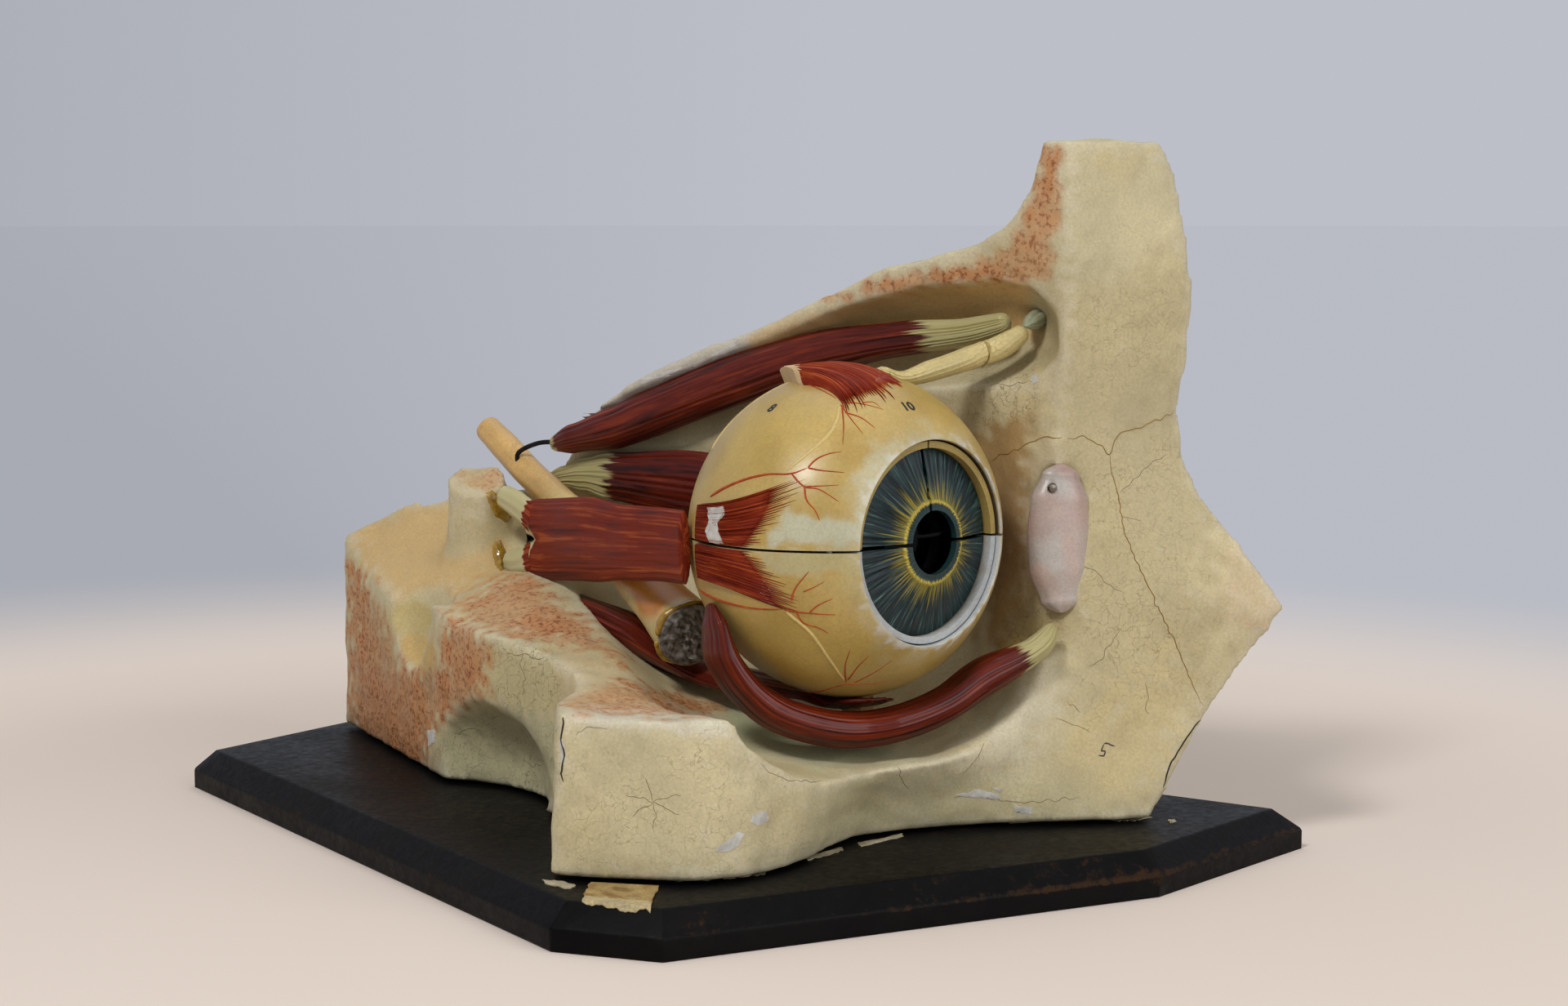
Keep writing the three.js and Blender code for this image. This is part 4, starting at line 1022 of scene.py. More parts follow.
@dataclass
class SocketCasting:
    """Plaster casting of the socket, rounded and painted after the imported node."""

    voxel_mm: float = 2.0
    round_times: int = 26
    crisp_times: int = 9
    lumps_mm: float = 0.35
    foot: float = 16.3
    thin_tip: tuple[float, float, float] = (58.0, 162.0, 163.0)
    ground: str = "#cabc93"
    cuts: tuple[Zone, ...] = (
        Zone(((425, 690), (440, 700), (468, 765), (490, 810), (518, 830), (541, 812), (545, 752), (568, 762),
              (596, 785), (594, 848), (543, 876), (525, 900), (524, 975), (428, 900)),
             facing=(-0.86, 0.5, 0.0), least=-0.1, soft=26),
        Zone(((560, 739), (629, 701), (657, 710), (721, 767), (765, 812), (690, 785), (600, 774)),
             facing=(0, 0, 1), soft=26),
        Zone(((689, 860), (761, 835), (832, 849), (886, 864), (861, 876), (704, 873)), facing=(0, 0, 1),
             soft=18),
        Zone(((552, 590), (560, 578), (600, 574), (618, 586), (612, 598), (575, 602)), strength=0.6,
             facing=(0, 0, 1), soft=14),
        Zone(((1277, 180), (1294, 180), (1293, 325), (1275, 346), (1241, 346), (1172, 346), (1086, 356),
              (1021, 370), (1007, 366), (1103, 338), (1193, 322), (1241, 295), (1264, 239)),
             facing=(-1, 0, 0), least=-0.2, soft=20),
    )
    crazes: tuple[Zone, ...] = (
        Zone(((600, 775), (690, 780), (685, 870), (600, 872)), strength=0.42, soft=20),
        Zone(((530, 900), (590, 870), (684, 885), (672, 1000), (530, 960)), strength=0.36, soft=20),
        Zone(((690, 950), (860, 900), (980, 960), (1000, 1040), (680, 1075)), strength=0.2, soft=60),
        Zone(((1315, 560), (1470, 520), (1480, 860), (1330, 880)), strength=0.22, soft=60),
        Zone(((1185, 450), (1270, 440), (1270, 520), (1190, 520)), strength=0.4, soft=20),
        Zone(((1225, 760), (1300, 700), (1300, 780), (1200, 850)), strength=0.3, soft=30),
        Zone(((1305, 340), (1450, 330), (1440, 460), (1310, 480)), strength=0.14, soft=50),
    )
    tints: tuple[Zone, ...] = (
        Zone(((425, 640), (545, 600), (640, 690), (560, 745), (480, 745), (430, 690)), "#cba76c", 0.8, 30,
             (0, 0, 1), 0.3),
        Zone(((430, 800), (500, 850), (524, 900), (522, 970), (430, 905)), "#b46f47", 0.8, 50),
        Zone(((560, 775), (690, 782), (682, 872), (600, 880), (560, 860)), "#bfb181", 0.8, 14),
        Zone(((522, 965), (532, 905), (578, 870), (630, 870), (684, 885), (672, 1005)), "#b3ac86", 0.85, 18),
        Zone(((680, 790), (760, 812), (800, 842), (690, 862)), "#cdb88c", 0.7, 16),
        Zone(((471, 752), (482, 738), (505, 733), (526, 742), (532, 758), (522, 775), (500, 782),
              (480, 772)), "#c3ae70", 0.8, 6),
        Zone(((484, 780), (524, 778), (538, 800), (530, 822), (516, 824), (494, 802)), "#cca557", 0.7, 8),
        Zone(((885, 850), (960, 870), (1060, 905), (1120, 930), (1000, 940), (900, 905)), "#b9bd95",
             0.8, 16),
        Zone(((700, 508), (775, 464), (900, 400), (930, 402), (915, 432), (850, 462), (780, 492),
              (705, 528)), "#bdb6aa", 0.95, 6),
        Zone(((1185, 540), (1265, 500), (1262, 760), (1215, 800)), "#a07a42", 0.8, 26),
        Zone(((930, 402), (1100, 352), (1262, 335), (1270, 420), (1190, 410), (1000, 430), (900, 470)),
             "#d4ab6c", 0.8, 20),
        Zone(((1262, 760), (1300, 752), (1296, 775), (1262, 800), (1225, 820), (1225, 800)), "#c2a04a",
             0.8, 12),
        Zone(((689, 868), (830, 862), (890, 885), (905, 905), (860, 900), (700, 884)), "#d2cdbd", 0.6, 12),
        Zone(((1208, 905), (1296, 800), (1340, 830), (1230, 960), (1100, 985), (1080, 950)), "#d2c9ae",
             0.6, 40),
        Zone(((1500, 650), (1590, 742), (1560, 790), (1480, 740)), "#c4ac88", 0.7, 40),
        Zone(((1265, 340), (1460, 330), (1450, 520), (1500, 640), (1480, 860), (1330, 900), (1250, 760),
              (1275, 560)), "#b5a67d", 0.75, 50),
        Zone(((1300, 900), (1450, 780), (1430, 960), (1340, 1010)), "#c8b380", 0.6, 60),
        Zone(((900, 955), (1100, 930), (1350, 960), (1400, 1010), (1050, 1040)), "#bfb58e", 0.6, 40),
    )

    def build(self) -> bpy.types.Object:
        """Make the rounded casting with its marks, dress it and set it on its body."""
        source = frame["nodes"]["orbit_casting"].data.copy()
        work = bmesh.new()
        work.from_mesh(source)
        bmesh.ops.remove_doubles(work, verts=work.verts, dist=1e-6)
        work.to_mesh(source)
        work.free()
        rough = link("casting_source", source)
        remesh = rough.modifiers.new("even_mesh", "REMESH")
        remesh.mode, remesh.voxel_size = "VOXEL", self.voxel_mm * MM
        even = rough.evaluated_get(bpy.context.evaluated_depsgraph_get())
        mesh = bpy.data.meshes.new_from_object(even)
        bpy.data.objects.remove(rough)
        mesh.name = "socket_casting"
        points = read(mesh.vertices, "co") / MM - AXIS
        edges = read(mesh.edges, "vertices", 2, np.int32).astype(np.int64)
        soft = smoothed(points, edges, self.round_times)
        crisp = smoothed(points, edges, self.crisp_times)
        sharp = smoothstep(0.9, 2.2, np.linalg.norm(soft - points, axis=1))
        sharp = smoothed(np.repeat(sharp[:, None], 3, 1), edges, 3)[:, :1]
        points = soft * (1 - sharp) + crisp * sharp
        thin = 1 - smoothstep(6, 16, np.linalg.norm(points - np.array(self.thin_tip), axis=1))[:, None]
        points = points * (1 - thin) + smoothed(points, edges, 60) * thin
        write(mesh, points)
        normals = read(mesh.vertex_normals, "vector")
        # How far each point lies below its smoothed surroundings: it darkens the hollows as painted shade
        # and lightens the rubbed edges.
        wide = smoothed(points, edges, 40)
        hollow = ((wide - points) * normals).sum(1)
        cut = np.max([zone.weight(points, normals) for zone in self.cuts], axis=0)
        lump = self.lumps_mm * (ripple(points, 26, 1) * 0.8 + ripple(points, 9, 2) * 0.35)
        lump += cut * 0.25 * ripple(points, 6, 3) - 0.2 * cut
        lump *= smoothstep(self.foot, self.foot + 4, points[:, 2])
        points = points + normals * np.minimum(lump, 0.35)[:, None]
        points[:, 2] = np.clip(points[:, 2], self.foot - 0.1, CAD_BOX[1][2] / MM - AXIS[2])
        write(mesh, points)
        set_mark(mesh, "cut", cut)
        set_mark(mesh, "crazed", np.max([zone.weight(points, normals) for zone in self.crazes], axis=0))
        set_mark(mesh, "tint", np.c_[self.tinted(points, normals, hollow), np.ones(len(points))])
        mesh.shade_smooth()
        return fit(link("socket_casting", mesh), AgedPaint("aged_cream_paint"), Body.SOCKET,
                   ["orbit_casting"])

    def tinted(self, points: Array, normals: Array, hollow: Array) -> Array:
        """Give each point its ground colour: zones, painted shade in the hollows and rubbed edges."""
        tint = even(self.ground, len(points))
        tint = paint(tint, 0.5 * smoothstep(-1, 1.5, ripple(points, 90, 7)), "#b8ad88")
        tint = paint(tint, 0.35 * smoothstep(0, 1.6, ripple(points, 60, 8)), "#c2ac76")
        for zone in self.tints:
            tint = paint(tint, zone.weight(points, normals), zone.colour)
        # Painted shade: the hollows of the casting are painted darker brown, where less light reaches.
        tint = paint(tint, 0.5 * smoothstep(0.2, 2.0, hollow), "#8c7a50")
        rub = smoothstep(0.5, 1.3, -hollow + 0.25 * ripple(points, 7, 9))
        return paint(tint, 0.35 * rub, "#d3c9b0")


@dataclass
class Muscle:
    """One painted muscle: its path, its fibres and where its tendon ends lie.

    Attributes:
        name: Name of the piece.
        node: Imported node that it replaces.
        stops: Path, as point, half width and half thickness.
        facing: Outward direction along the path.
        tendon: Share of tendon at shares of the way along.
        finish: Its paint.
        fibres: Number of fibres round it.
        relief_mm: Spread of the fibres' height.
        tips: Shares of the path that the rounded ends take.
        rows: Points along the path.
    """

    name: str
    node: str
    stops: Stops
    facing: Callable[[Array], Array]
    tendon: tuple[tuple[float, float], ...]
    finish: BrushedPaint
    fibres: int = 22
    relief_mm: float = 0.16
    tips: tuple[float, float] = (0.03, 0.03)
    rows: int = 170

    def build(self) -> bpy.types.Object:
        """Make the muscle, dress it and set it on the fixed body."""
        relief = strands(self.fibres, self.relief_mm, len(self.name))
        skin = sweep(self.stops, self.facing, self.rows, 128, relief, self.tips)
        along = skin.marks["fibre"][:, 2]
        share = along / along.max()
        places, amounts = zip(*self.tendon)
        skin.marks["tendon"] = np.interp(share, places, amounts)
        return fit(skin.piece(self.name, 60), self.finish, Body.SOCKET, [self.node])


WET = BrushedPaint("wet_muscle_paint", "#2e0a05", "#5a180b", "#78290f", bare="#a4985c", pale="#bab287",
                   stroke_mm=1.0, stroke_length_mm=22, shine=0.4, roughness=0.4)
MATT = BrushedPaint("strap_muscle_paint", "#50140a", "#74230f", "#9a4822", bare="#b0a56c", pale="#cfc8a4",
                    stroke_mm=1.0, stroke_length_mm=60, shine=0.06, roughness=0.5)
FAN = BrushedPaint("fan_muscle_paint", "#56120a", "#842a12", "#ab4f22", bare="#c7a06a", pale="#d6c6a8",
                   shine=0.12, roughness=0.45)
GLUE = PlainMatter("amber_glue", "#7d5a10", "#b08a24", 3.0, 0.16, shine=0.5, bump_mm=0.1)
PALE = AgedPaint("tendon_paint", "#c9b67a", blotch=0.2, crack_mm=6, crack=0.35, roughness=0.45, shine=0.2)

UNDER_RECTUS = 2.8
UNDER_OBLIQUE = 12.2


def muscles() -> list[Muscle]:
    """Give the muscles that are fixed to the socket."""
    on = GLOBE.on
    return [
        Muscle("superior_oblique_belly", "superior_oblique", (
            ((56.5, 187.5, 146), 2.6, 3), ((58, 176, 149), 6, 6), ((60, 155, 154.5), 8.4, 8.6),
            ((62, 138, 161), 9, 9.4), ((66, 99, 175.5), 9, 9.8), ((69, 62, 187), 7.8, 8.6),
            ((70.5, 24, 194), 6, 6.6), ((71.5, -8, 198), 5, 5), ((72, -25, 202), 4, 4)), upwards,
            ((0, 0.75), (0.03, 0.25), (0.06, 0), (0.73, 0), (0.91, 0.9), (1, 1)), WET),
        Muscle("medial_rectus_belly", "medial_rectus", (
            ((66, 196, 129.5), 3, 2), ((64, 186, 132), 4.4, 2.4), ((63, 174, 133.5), 7, 3),
            ((63, 160, 133.5), 10, 3.6), ((64.5, 118, 132), 14, 3.6), ((66, 60, 129), 13, 3.6),
            ((65, 8, 126), 13, 3.2)), towards_nose,
            ((0, 1), (0.1, 1), (0.27, 0.1), (0.33, 0), (1, 0)), WET),
        Muscle("inferior_rectus_belly", "inferior_rectus", (
            ((40, 184, 92), 4.5, 3.4), ((32, 170, 85.5), 8, 3.2), ((20, 140, 82), 11, 7),
            ((9, 106, 78), 12.5, 8), ((-1, 68, 69), 12, 4.4), (on(84, -74, UNDER_RECTUS + 0.6), 12, 2),
            (on(200, -87, UNDER_RECTUS), 12, 1.4), (on(236, -74, UNDER_RECTUS - 0.8), 12, 1)), from_globe,
            ((0, 0.6), (0.04, 0), (1, 0)), WET),
        Muscle("inferior_oblique_belly", "inferior_oblique", (
            ((55.5, -54.5, 90), 3, 2.4), ((47, -52.5, 82.5), 6.5, 4.6),
            (on(305, -48, UNDER_OBLIQUE + 2), 9, 7),
            (on(294, -61, UNDER_OBLIQUE + 0.6), 9.5, 6.6), (on(268, -72, UNDER_OBLIQUE), 9.5, 6.6),
            (on(223, -76, UNDER_OBLIQUE), 9.5, 6.6), (on(185, -70, UNDER_OBLIQUE), 9.5, 6.6),
            (on(165, -59, UNDER_OBLIQUE), 10.5, 6.4), (on(158, -48, UNDER_OBLIQUE - 1.4), 11, 5.6),
            (on(155, -37, 8.4), 11, 5.2), (on(153.5, -29, 4.6), 10.5, 3.4), (on(151, -21, 1.4), 4.6, 1.2)),
            from_globe, ((0, 1), (0.05, 0.95), (0.19, 0), (1, 0)), WET, 26, 0.11, (0.03, 0.02), 210),
    ]


@dataclass
class LateralRectus:
    """Strap of the lateral rectus with its two pale tendon heads, cut off square at the globe."""

    strap: Stops = (
        ((29, 178, 109.5), 15.5, 2.8), ((24, 166, 110.5), 16.5, 3.6), ((-2, 120, 116), 16.5, 3.6),
        ((-22, 86, 119), 14.2, 3.2), ((-38, 58, 121.8), 13.6, 2.8), ((-50, 38.5, 123.3), 13.4, 2.4))
    notch_mm: float = 11.0
    heads: tuple[Stops, ...] = (
        (((37, 198, 126), 5, 4), ((32, 184, 122), 6, 3.6), ((26, 170, 117), 7, 3)),
        (((38, 195, 98), 5, 4), ((32, 184, 99), 6, 3.6), ((26, 170, 103), 7, 3)))

    def build(self) -> bpy.types.Object:
        """Make the strap and its heads as one piece."""
        skin = sweep(self.strap, sideways, 170, 144, strands(30, 0.13, 4), (0.035, 0.012))
        along = skin.marks["fibre"][:, 2]
        aside = skin.marks["fibre"][:, 0]
        middle = np.maximum(1 - 1.5 * np.abs(aside / aside.max()), 0)
        notch = self.notch_mm * middle * (1 - smoothstep(0, 26, along))
        onward = unit(np.subtract(self.strap[1][0], self.strap[0][0]))
        skin.points = skin.points + notch[:, None] * onward
        skin.marks["tendon"] = np.interp(along / along.max(), (0, 0.02, 0.05, 1), (0.7, 0.3, 0, 0))
        for path in self.heads:
            head = sweep(path, sideways, 50, 48, strands(9, 0.1, 6), (0.12, 0.12))
            reach = head.marks["fibre"][:, 2]
            head.marks["tendon"] = np.interp(reach / reach.max(), (0, 0.6, 0.86, 1), (1, 1, 0.1, 0))
            skin = skin + head
        return fit(skin.piece("lateral_rectus_strap", 60), MATT, Body.SOCKET,
                   ["lateral_rectus"])


@dataclass
class GlobePad:
    """End of a muscle that is painted and modelled on the globe and frays into pointed fibres.

    The patch runs between four corners of the globe; its front edge moves forward or back with a
    row of sharp peaks, and its height falls towards its edges.

    Attributes:
        name: Name of the piece.
        node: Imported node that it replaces.
        body: Body that it rides on.
        corners: Longitude and latitude of its start, both sides, then of its front.
        heights: Its height at the start and at the front, in millimetres.
        fray: Share of its length that the peaks take.
        peaks: Number of peaks.
        seed: Seed of the lengths of the peaks.
        sides: How far each side edge falls to the globe.
        sags: How far each side bows inwards.
        bare_start: Share of its length that has lost its paint.
        finish: Its paint.
    """

    name: str
    node: str
    body: Body
    corners: tuple[tuple[float, float], ...]
    heights: tuple[float, float]
    fray: float
    peaks: int
    seed: int
    sides: tuple[float, float] = (1.0, 1.0)
    sags: tuple[float, float] = (0.0, 0.0)
    bare_start: float = 0.0
    finish: BrushedPaint = FAN

    def build(self) -> bpy.types.Object:
        """Make the patch as an upper and a lower skin that meet at the edges."""
        rows, columns = 60, 190
        corner = np.array([GLOBE.bearing(*place) for place in self.corners])
        v = np.linspace(0, 1, columns)
        rng = np.random.default_rng(self.seed)
        phase = v * self.peaks + 0.3 * np.sin(v * 17)
        saw = 1 - np.abs(2 * (phase % 1) - 1)
        lengths = rng.uniform(0.35, 1, self.peaks + 3)[phase.astype(int)]
        front = 1 - self.fray * 0.5 + self.fray * (saw**1.8 * lengths + 0.3 * np.sin(np.pi * v))
        t = np.linspace(0, 1, rows)[:, None] * front[None, :]
        low = corner[0] + (corner[3] - corner[0]) * t[..., None]
        high = corner[1] + (corner[2] - corner[1]) * t[..., None]
        bow = (4 * t * (1 - t))[..., None]
        low, high = low + (high - low) * self.sags[0] * bow, high + (low - high) * self.sags[1] * bow
        directions = unit(low + (high - low) * v[None, :, None])
        back, thin = self.heights
        body = back + (thin - back) * np.clip(t, 0, 1)
        sides = smoothstep(0, 0.06, v) * self.sides[0] + (1 - self.sides[0])
        sides = sides * (smoothstep(0, 0.06, 1 - v) * self.sides[1] + (1 - self.sides[1]))
        tip = np.sqrt(np.clip((1 - np.linspace(0, 1, rows)) / 0.08, 0, 1))[:, None]
        across = v[None, :] * 60
        grain = 0.1 * strands(self.peaks * 2, 1.0, self.seed)(v[None, :] * 2 * np.pi, t * 60)
        height = np.maximum((body * sides + grain * np.minimum(body, 1)) * tip, 0.04)
        upper = GLOBE.at(directions, height)
        lower = GLOBE.at(directions, -0.15)
        fibre = np.stack([across + 0 * t, 0 * t, t * 60], -1).reshape(-1, 3)
        tendon = 0.25 * smoothstep(0.8, 1.1, t)
        if self.bare_start:
            ragged = t + 0.03 * np.sin(v * 31) + 0.02 * np.sin(v * 77 + 1)
            tendon = tendon + 1 - smoothstep(self.bare_start - 0.01, self.bare_start + 0.01, ragged)
        skin = sheet(upper, lower, {"fibre": fibre, "tendon": tendon.ravel()})
        return fit(skin.piece(self.name, 50), self.finish, self.body, [self.node])


def pads() -> list[GlobePad]:
    """Give the muscle ends on the globe."""
    upper, lower = Body.UPPER_SCLERA, Body.SOCKET
    seam = 0.62
    return [
        GlobePad("lateral_pad_upper", "lateral_rectus_pad_upper", upper,
                 ((148, seam), (147, 13), (190, 24.5), (178, seam)), (1.8, 0.3), 0.32, 27, 3, (0.2, 1.0),
                 (0.0, 0.2)),
        GlobePad("lateral_pad_lower", "lateral_rectus_pad_lower", lower,
                 ((147, -13), (148, -seam), (177, -seam), (191, -22)), (1.8, 0.3), 0.3, 25, 4, (1.0, 0.2),
                 (0.2, 0.0)),
        GlobePad("medial_pad_upper", "medial_rectus_pad_upper", upper,
                 ((4, 13), (4, seam), (318, seam), (314, 20)), (1.8, 0.3), 0.25, 17, 5, (1.0, 0.2)),
        GlobePad("medial_pad_lower", "medial_rectus_pad_lower", lower,
                 ((4, -seam), (4, -13), (314, -20), (318, -seam)), (1.8, 0.3), 0.25, 17, 6, (0.2, 1.0)),
        GlobePad("superior_rectus_fan", "superior_rectus_stump", upper,
                 ((158, 67.5), (96, 63), (293, 71.5), (209, 54.5)), (6, 0.5), 0.34, 34, 7, (0.9, 0.9),
                 (0.12, 0.0), 0.14),
    ]


@dataclass
class Tendons:
    """Pulley of the superior oblique and its tendon, of which one part lifts with the globe."""

    pulley: Stops = (((88, -32, 204), 3.6, 3.6), ((79, -32.5, 203), 3.8, 3.4), ((74.5, -33, 202), 3.4, 3),
                     ((69, -33.4, 200.6), 2.6, 1.8))
    route: Stops = (((71, -33, 199), 3.6, 3), ((64, -25, 192.5), 5, 4.3), ((57, -17, 188.8), 5, 4.4),
                    ((44, -8, 184.4), 5, 4), ((31, -1, 181.5), 5, 2.7), ((22, 3, 184.9), 4.6, 2.2))
    cut: tuple[float, float] = (59.2, -20.0)
    gap: float = 1.0
    rows: int = 130
    columns: int = 56

    def build(self) -> None:
        """Make the pulley and both parts of the tendon."""
        pulley = sweep(self.pulley, upwards, 50, 40, strands(8, 0.25, 2), (0.1, 0.4)).marked()
        blue = AgedPaint("pulley_paint", "#a3a88a", crack_mm=5, roughness=0.45, shine=0.2)
        fit(pulley.piece("pulley_of_superior_oblique"), blue, Body.SOCKET, ["trochlea"])
        count = self.columns
        whole = sweep(self.route, from_globe, self.rows, count, strands(12, 0.06, 9), (0.05, 0.05))
        rings = whole.points.reshape(self.rows, count, 3)
        plane = unit(np.array([*self.cut, 0.0]))
        depth = rings @ plane - np.linalg.norm(self.cut)
        for side, name, body, node in (
            (1, "oblique_tendon_at_pulley", Body.SOCKET, "oblique_tendon_fixed"),
            (-1, "oblique_tendon_on_globe", Body.UPPER_SCLERA, "oblique_tendon_globe"),
        ):
            keep = np.flatnonzero((side * depth > self.gap / 2).any(1))
            part = rings[keep[0] : keep[-1] + 1]
            away = side * (part @ plane - np.linalg.norm(self.cut))
            part = part + side * np.maximum(self.gap / 2 - away, 0)[..., None] * plane
            first, last = (np.tile(ring.mean(0), (1, count, 1)) for ring in (part[0], part[-1]))
            part = np.concatenate([first, part, last])
            skin = Skin(part.reshape(-1, 3), grid_faces(len(part), count))
            fit(skin.piece(name), PALE, body, [node])


@dataclass
class OpticNerve:
    """Optic nerve, thin behind and flared to a rough broken end beside the globe."""

    path: Stops = (((68, 232, 150.5), 5.7, 5.7), ((62, 215, 142), 6.3, 6.3), ((56, 200, 134.5), 6.3, 6.3),
                   ((46, 176, 125), 6.3, 6.3), ((24, 132, 110), 7.8, 7.8), ((0, 90, 96), 10.3, 10.3),
                   ((-19.5, 59, 85.5), 12.4, 12.4))
    wire: Stops = (((57.6, 204.8, 134.5), 1, 1), ((54.6, 203, 134.6), 1, 1), ((52.4, 202.2, 138.2), 1, 1),
                   ((52, 201.4, 142), 1, 1), ((54.6, 193, 146.4), 1, 1), ((56.8, 182, 147.4), 1, 1))
    glue_back: float = 2.6

    def build(self) -> None:
        """Make the nerve, its broken end and the wire that is planted in it."""
        skin = sweep(self.path, upwards, 190, 72, strands(7, 0.1, 3), (0.012, 0.01))
        along = skin.marks["fibre"][:, 2]
        left = along.max() - along
        height = skin.marks["fibre"][:, 1] / np.abs(skin.marks["fibre"][:, 1]).max()
        tint = even("#c9b67c", len(along))
        tint = paint(tint, 0.85 * smoothstep(110, 150, left), "#cda05c")
        # Orange band on the sheath's upper side near the globe: partly the sheath's orange paint and partly
        # painted light, laid only on the side that faces the light.
        top = smoothstep(-0.15, 0.3, height + 0.12 * ripple(skin.points, 26, 4)) * smoothstep(3, 12, left)
        tint = paint(tint, 0.95 * top * (1 - smoothstep(60, 130, left)), "#b8701c")
        broken = 1 - smoothstep(1.0, 2.4, left + 0.4 * ripple(skin.points, 4, 5))
        tint = paint(tint, broken, "#6d675f")
        nerve = AgedPaint("nerve_paint", blotch=0.25, crack_mm=9, crack=0.2, roughness=0.42, shine=0.2)
        cone = skin.marked(tint=tint).piece("optic_nerve_cone", 50)
        fit(cone, nerve, Body.SOCKET, ["optic_nerve"])
        self.end_face()
        wire = sweep(self.wire, sideways, 80, 16, None, (0.02, 0.02)).marked()
        iron = PlainMatter("blackened_iron_wire", "#151314", "#2b2422", 2.0, 0.42, 0.8)
        fit(wire.piece("prop_wire"), iron, Body.SOCKET, ["support_wire"])

    def end_face(self) -> None:
        """Make the broken end of the nerve and the bead of glue round it."""
        end, before = np.array(self.path[-1][0]), np.array(self.path[-2][0])
        axis = unit(end - before)
        across = unit(np.cross(axis, [0.0, 0.0, 1.0]))
        shares = np.linspace(1, 0.02, 16)[:, None, None]
        turn = np.linspace(0, 2 * np.pi, 60, endpoint=False)[:, None]
        wheel = np.cos(turn) * across + np.sin(turn) * np.cross(across, axis)
        flat = end + (self.path[-1][1] - 0.3) * shares * wheel
        rough = 0.5 * ripple(flat, 3.4, 6) + 0.3 * ripple(flat, 1.7, 7)
        front = flat + ((0.9 + np.clip(rough, -0.8, 0.8)) * (1 - shares[..., 0] ** 8))[..., None] * axis
        rows = np.concatenate([(flat - 1.4 * axis)[::-1], front])
        face = Skin(rows.reshape(-1, 3), grid_faces(32, 60))
        grey = paint(even("#8a847c", len(face.points)),
                     smoothstep(-0.6, 0.8, ripple(face.points, 2.4, 8)), "#4c4640")
        plaster = AgedPaint("broken_plaster", blotch=0.2, speck=0.3, roughness=0.8, grain_height_mm=0.3)
        fit(face.marked(tint=grey).piece("nerve_broken_end", 70), plaster, Body.SOCKET)
        angle = np.linspace(0, 1.94 * np.pi, 28)[:, None]
        reach = self.path[-1][1] + 0.1
        round_axis = np.cos(angle) * across + np.sin(angle) * np.cross(across, axis)
        ring = end - axis * self.glue_back + reach * round_axis
        ring = ring + 0.7 * ripple(ring, 14, 2)[:, None] * axis
        size = 1.3 + 0.35 * ripple(ring, 11, 3)
        bead = sweep([(p, w, w * 0.8) for p, w in zip(ring, size)], lambda p: unit(p - end), 150, 14)
        fit(bead.marked().piece("nerve_glue_bead"), GLUE, Body.SOCKET)


@dataclass
class TearSac:
    """Tear sac, a pink cushion of plaster in its groove; the nail that holds it is one of the fittings."""

    centre: tuple[float, float, float] = (65.4, -52.0, 121.5)
    half: tuple[float, float, float] = (28, 12.4, 6.2)
    outward: tuple[float, float, float] = (-0.65, -0.76, 0.0)

    def build(self) -> None:
        """Make the sac, whose width swells and falls along it."""
        x, y, z = self.centre
        length, width, thickness = self.half
        stops = []
        for t in (-1, -0.82, -0.4, 0.05, 0.5, 0.84, 1):
            swell = max(0.3, math.sqrt(max(0.0, 1 - abs(t) ** 2.6)))
            place = (x + 1.5 * t, y + 1.5 * (1 - t * t) + 1.2 * t, z + length * t)
            stops.append((place, width * swell, thickness * swell))
        skin = sweep(stops, lambda p: np.tile(self.outward, (len(p), 1)), 90, 72, strands(5, 0.15, 8),
                     (0.1, 0.1))
        tint = even("#b8a195", len(skin.points))
        tint = paint(tint, smoothstep(-0.8, 1.0, ripple(skin.points, 17, 4)), "#b5aca3")
        tint = paint(tint, 0.45 * smoothstep(0, 1.4, ripple(skin.points, 23, 6)), "#ab8579")
        skin = skin.marked(tint=tint)
        pink = AgedPaint("tear_sac_paint", blotch=0.18, crack=0.1, roughness=0.42, shine=0.25)
        fit(skin.piece("tear_sac"), pink, Body.SOCKET, ["lacrimal_sac"])


